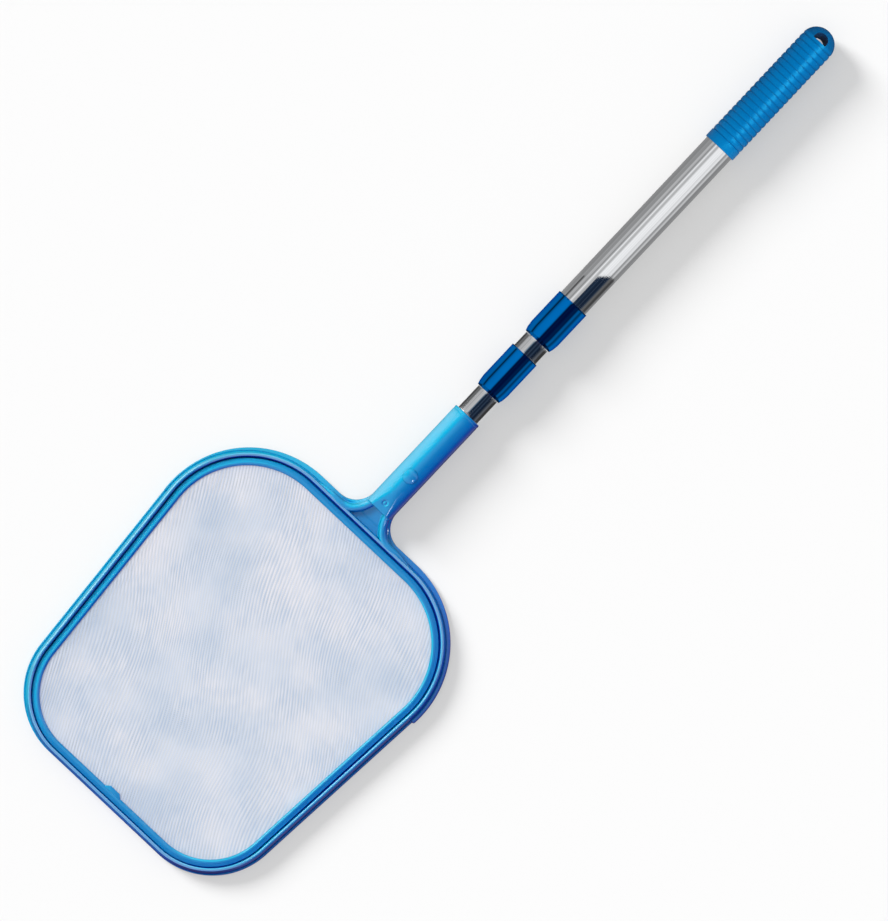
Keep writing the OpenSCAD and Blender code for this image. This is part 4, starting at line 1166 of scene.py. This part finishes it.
def card_light():
    """Cards of light and dark round the pole; they show only from inside."""
    material, tree = start_material("light_cards")
    place = add(tree, "ShaderNodeTexCoord").outputs["Object"]
    split = add(tree, "ShaderNodeSeparateXYZ", {"Vector": place})
    up = add(tree, "ShaderNodeMath", {0: split.outputs["Z"], 1: POLE_Z * MM}, operation="SUBTRACT")
    turn = turn_from_up(tree, split.outputs["Y"], up.outputs[0])
    slant = add(tree, "ShaderNodeMath", {0: split.outputs["Y"], 1: CARD_SLANT}, operation="MULTIPLY")
    slanted = add(tree, "ShaderNodeMath", {0: split.outputs["X"], 1: slant.outputs[0]}, operation="ADD")
    seen = level_ramp(tree, turn, CARD_ROW[0][1], -180, 180)
    for x, cards in CARD_ROW[1:]:
        along = slanted.outputs[0] if cards is TUBE_CARDS else split.outputs["X"]
        past = add(tree, "ShaderNodeMath", {0: along, 1: x * MM}, operation="GREATER_THAN")
        seen = add(tree, "ShaderNodeMix", {
            "Factor": past.outputs[0], 6: seen, 7: level_ramp(tree, turn, cards, -180, 180)},
            data_type="RGBA").outputs[2]
    glow = add(tree, "ShaderNodeEmission", {"Color": seen, "Strength": 1})
    clear = add(tree, "ShaderNodeBsdfTransparent")
    inside = add(tree, "ShaderNodeNewGeometry").outputs["Backfacing"]
    shown = add(tree, "ShaderNodeMixShader", {"Fac": inside, 1: clear.outputs[0], 2: glow.outputs[0]})
    end_material(tree, shown)
    return material


cards_bm = skin([
    [(x, CARD_R * math.sin(a), POLE_Z + CARD_R * math.cos(a)) for a in (2 * math.pi * k / 96 for k in range(96))]
    for x in (2, 1500)])
bmesh.ops.delete(cards_bm, geom=[f for f in cards_bm.faces if len(f.verts) > 4], context="FACES_ONLY")
cards = piece("light_cards", cards_bm, card_light())
cards.visible_camera = cards.visible_diffuse = cards.visible_shadow = False
cards.visible_transmission = cards.visible_volume_scatter = False

# The room: even light, and for gloss a long bright pane on the left side and
# panes in front and behind
PANES_ROUND = [
    (-180, 0.35), (-170, 0.8), (-158, 0.8), (-144, 0.5), (-124, 1.4), (-108, 3), (-89, 3.8), (-70, 4), (-59, 3), (-51, 0.9), (-43, 0.05),
    (-28, 0.02), (-20, 0.2), (-12, 0.9), (0, 0.85), (12, 0.5), (24, 0.12), (34, 0), (92, 0), (106, 0.2),
    (128, 0.65), (150, 0.14), (168, 0.1), (180, 0.35)]
PANES_ENDS = [
    (-1, 0.1), (-0.985, 0.5), (-0.96, 1.8), (-0.88, 1.8), (-0.82, 1.1), (-0.3, 1.1), (0.3, 1.1), (0.8, 1.1),
    (0.86, 2.4), (0.97, 2.4), (0.985, 0.5), (1, 0.1)]
SKY_LEVEL, WHITE_LEVEL = 0.63, 0.97

world = bpy.data.worlds.new("studio")
bpy.context.scene.world = world
world.use_nodes = True
room = world.node_tree
room.nodes.clear()
direction = add(room, "ShaderNodeTexCoord").outputs["Generated"]
way = add(room, "ShaderNodeSeparateXYZ", {"Vector": direction})
panes_round = level_ramp(
    room, turn_from_up(room, way.outputs["Y"], way.outputs["Z"]), PANES_ROUND, -180, 180)
ends_place = add(room, "ShaderNodeMapRange", {"Value": way.outputs["X"], "From Min": -1, "From Max": 1})
end_levels = level_ramp(room, ends_place.outputs["Result"], PANES_ENDS, -1, 1)
above_floor = add(room, "ShaderNodeMapRange", {
    "Value": way.outputs["Z"], "From Min": -0.1, "From Max": 0.1, "To Min": 0.1, "To Max": 1})
panes_ends = add(room, "ShaderNodeVectorMath", {
    0: end_levels, "Scale": above_floor.outputs["Result"]}, operation="SCALE")
endwise = add(room, "ShaderNodeMath", {0: way.outputs["X"]}, operation="ABSOLUTE")
is_end = add(room, "ShaderNodeMapRange", {"Value": endwise.outputs[0], "From Min": 0.25, "From Max": 0.4})
panes = add(room, "ShaderNodeMix", {
    "Factor": is_end.outputs["Result"], 6: panes_round, 7: panes_ends.outputs[0]}, data_type="RGBA")
ray = add(room, "ShaderNodeLightPath")
even = add(room, "ShaderNodeMix", {
    "Factor": ray.outputs["Is Camera Ray"], 6: (*[SKY_LEVEL] * 3, 1), 7: (*[WHITE_LEVEL] * 3, 1)}, data_type="RGBA")
sky = add(room, "ShaderNodeMix", {
    "Factor": ray.outputs["Is Glossy Ray"], 6: even.outputs[2], 7: panes.outputs[2]}, data_type="RGBA")
add(room, "ShaderNodeOutputWorld", {
    "Surface": add(room, "ShaderNodeBackground", {"Color": sky.outputs[2], "Strength": 1}).outputs[0]})


def window(name, lean, share, lit):
    """Large soft light that leans from straight up to the left side, in degrees,
    gives its share of the floor's light and falls only on some pieces."""
    data = bpy.data.lights.new(name, "SUN")
    data.angle = math.radians(22)
    data.energy = share * math.pi / math.cos(math.radians(lean))
    lamp = bpy.data.objects.new(name, data)
    bpy.context.collection.objects.link(lamp)
    lamp.rotation_euler = (-math.radians(lean), 0, 0)
    lamp.visible_glossy = False
    group = bpy.data.collections.new(name + "_pieces")
    for one in lit:
        group.objects.link(one)
    lamp.light_linking.receiver_collection = group


rest_of_tool = [o for o in bpy.context.scene.objects if o.type == "MESH" and o not in (floor, net, grip)]
window("window_far", 63, 0.8, [floor])
window("window_left", 45, 0.37, rest_of_tool)
window("window_net", 12, 0.37, [net])
window("window_grip", -22, 0.37, [grip])


def spark_lamp(way, width, level, lit):
    """Small round lamp that only mirrors in polished domes and corners. It
    stands in a direction, is so many degrees wide and has a brightness."""
    data = bpy.data.lights.new("spark", "SUN")
    data.angle = math.radians(width)
    data.energy = level * math.pi * math.sin(data.angle / 2) ** 2
    lamp = bpy.data.objects.new("spark", data)
    bpy.context.collection.objects.link(lamp)
    lamp.rotation_euler = Vector(way).to_track_quat("Z", "Y").to_euler()
    lamp.visible_diffuse = False
    group = bpy.data.collections.new("spark_pieces")
    for one in lit:
        group.objects.link(one)
    lamp.light_linking.receiver_collection = group


spark_lamp((-0.2, -0.65, 0.74), 10, 22, [yoke, button])

CAMERA_HIGH, VIEW_H = 12, 0.7764
VIEW_CENTRE = Vector((-0.0393, -0.0116, 0.013))
camera_data = bpy.data.cameras.new("camera")
camera_data.lens = camera_data.sensor_width * CAMERA_HIGH / VIEW_H
camera_data.clip_end = 100
camera = bpy.data.objects.new("camera", camera_data)
bpy.context.collection.objects.link(camera)
camera.location = VIEW_CENTRE + Vector((0, 0, CAMERA_HIGH))
camera.rotation_euler = (0, 0, -math.radians(46.742))
bpy.context.scene.camera = camera
bpy.context.scene.view_settings.view_transform = "Standard"
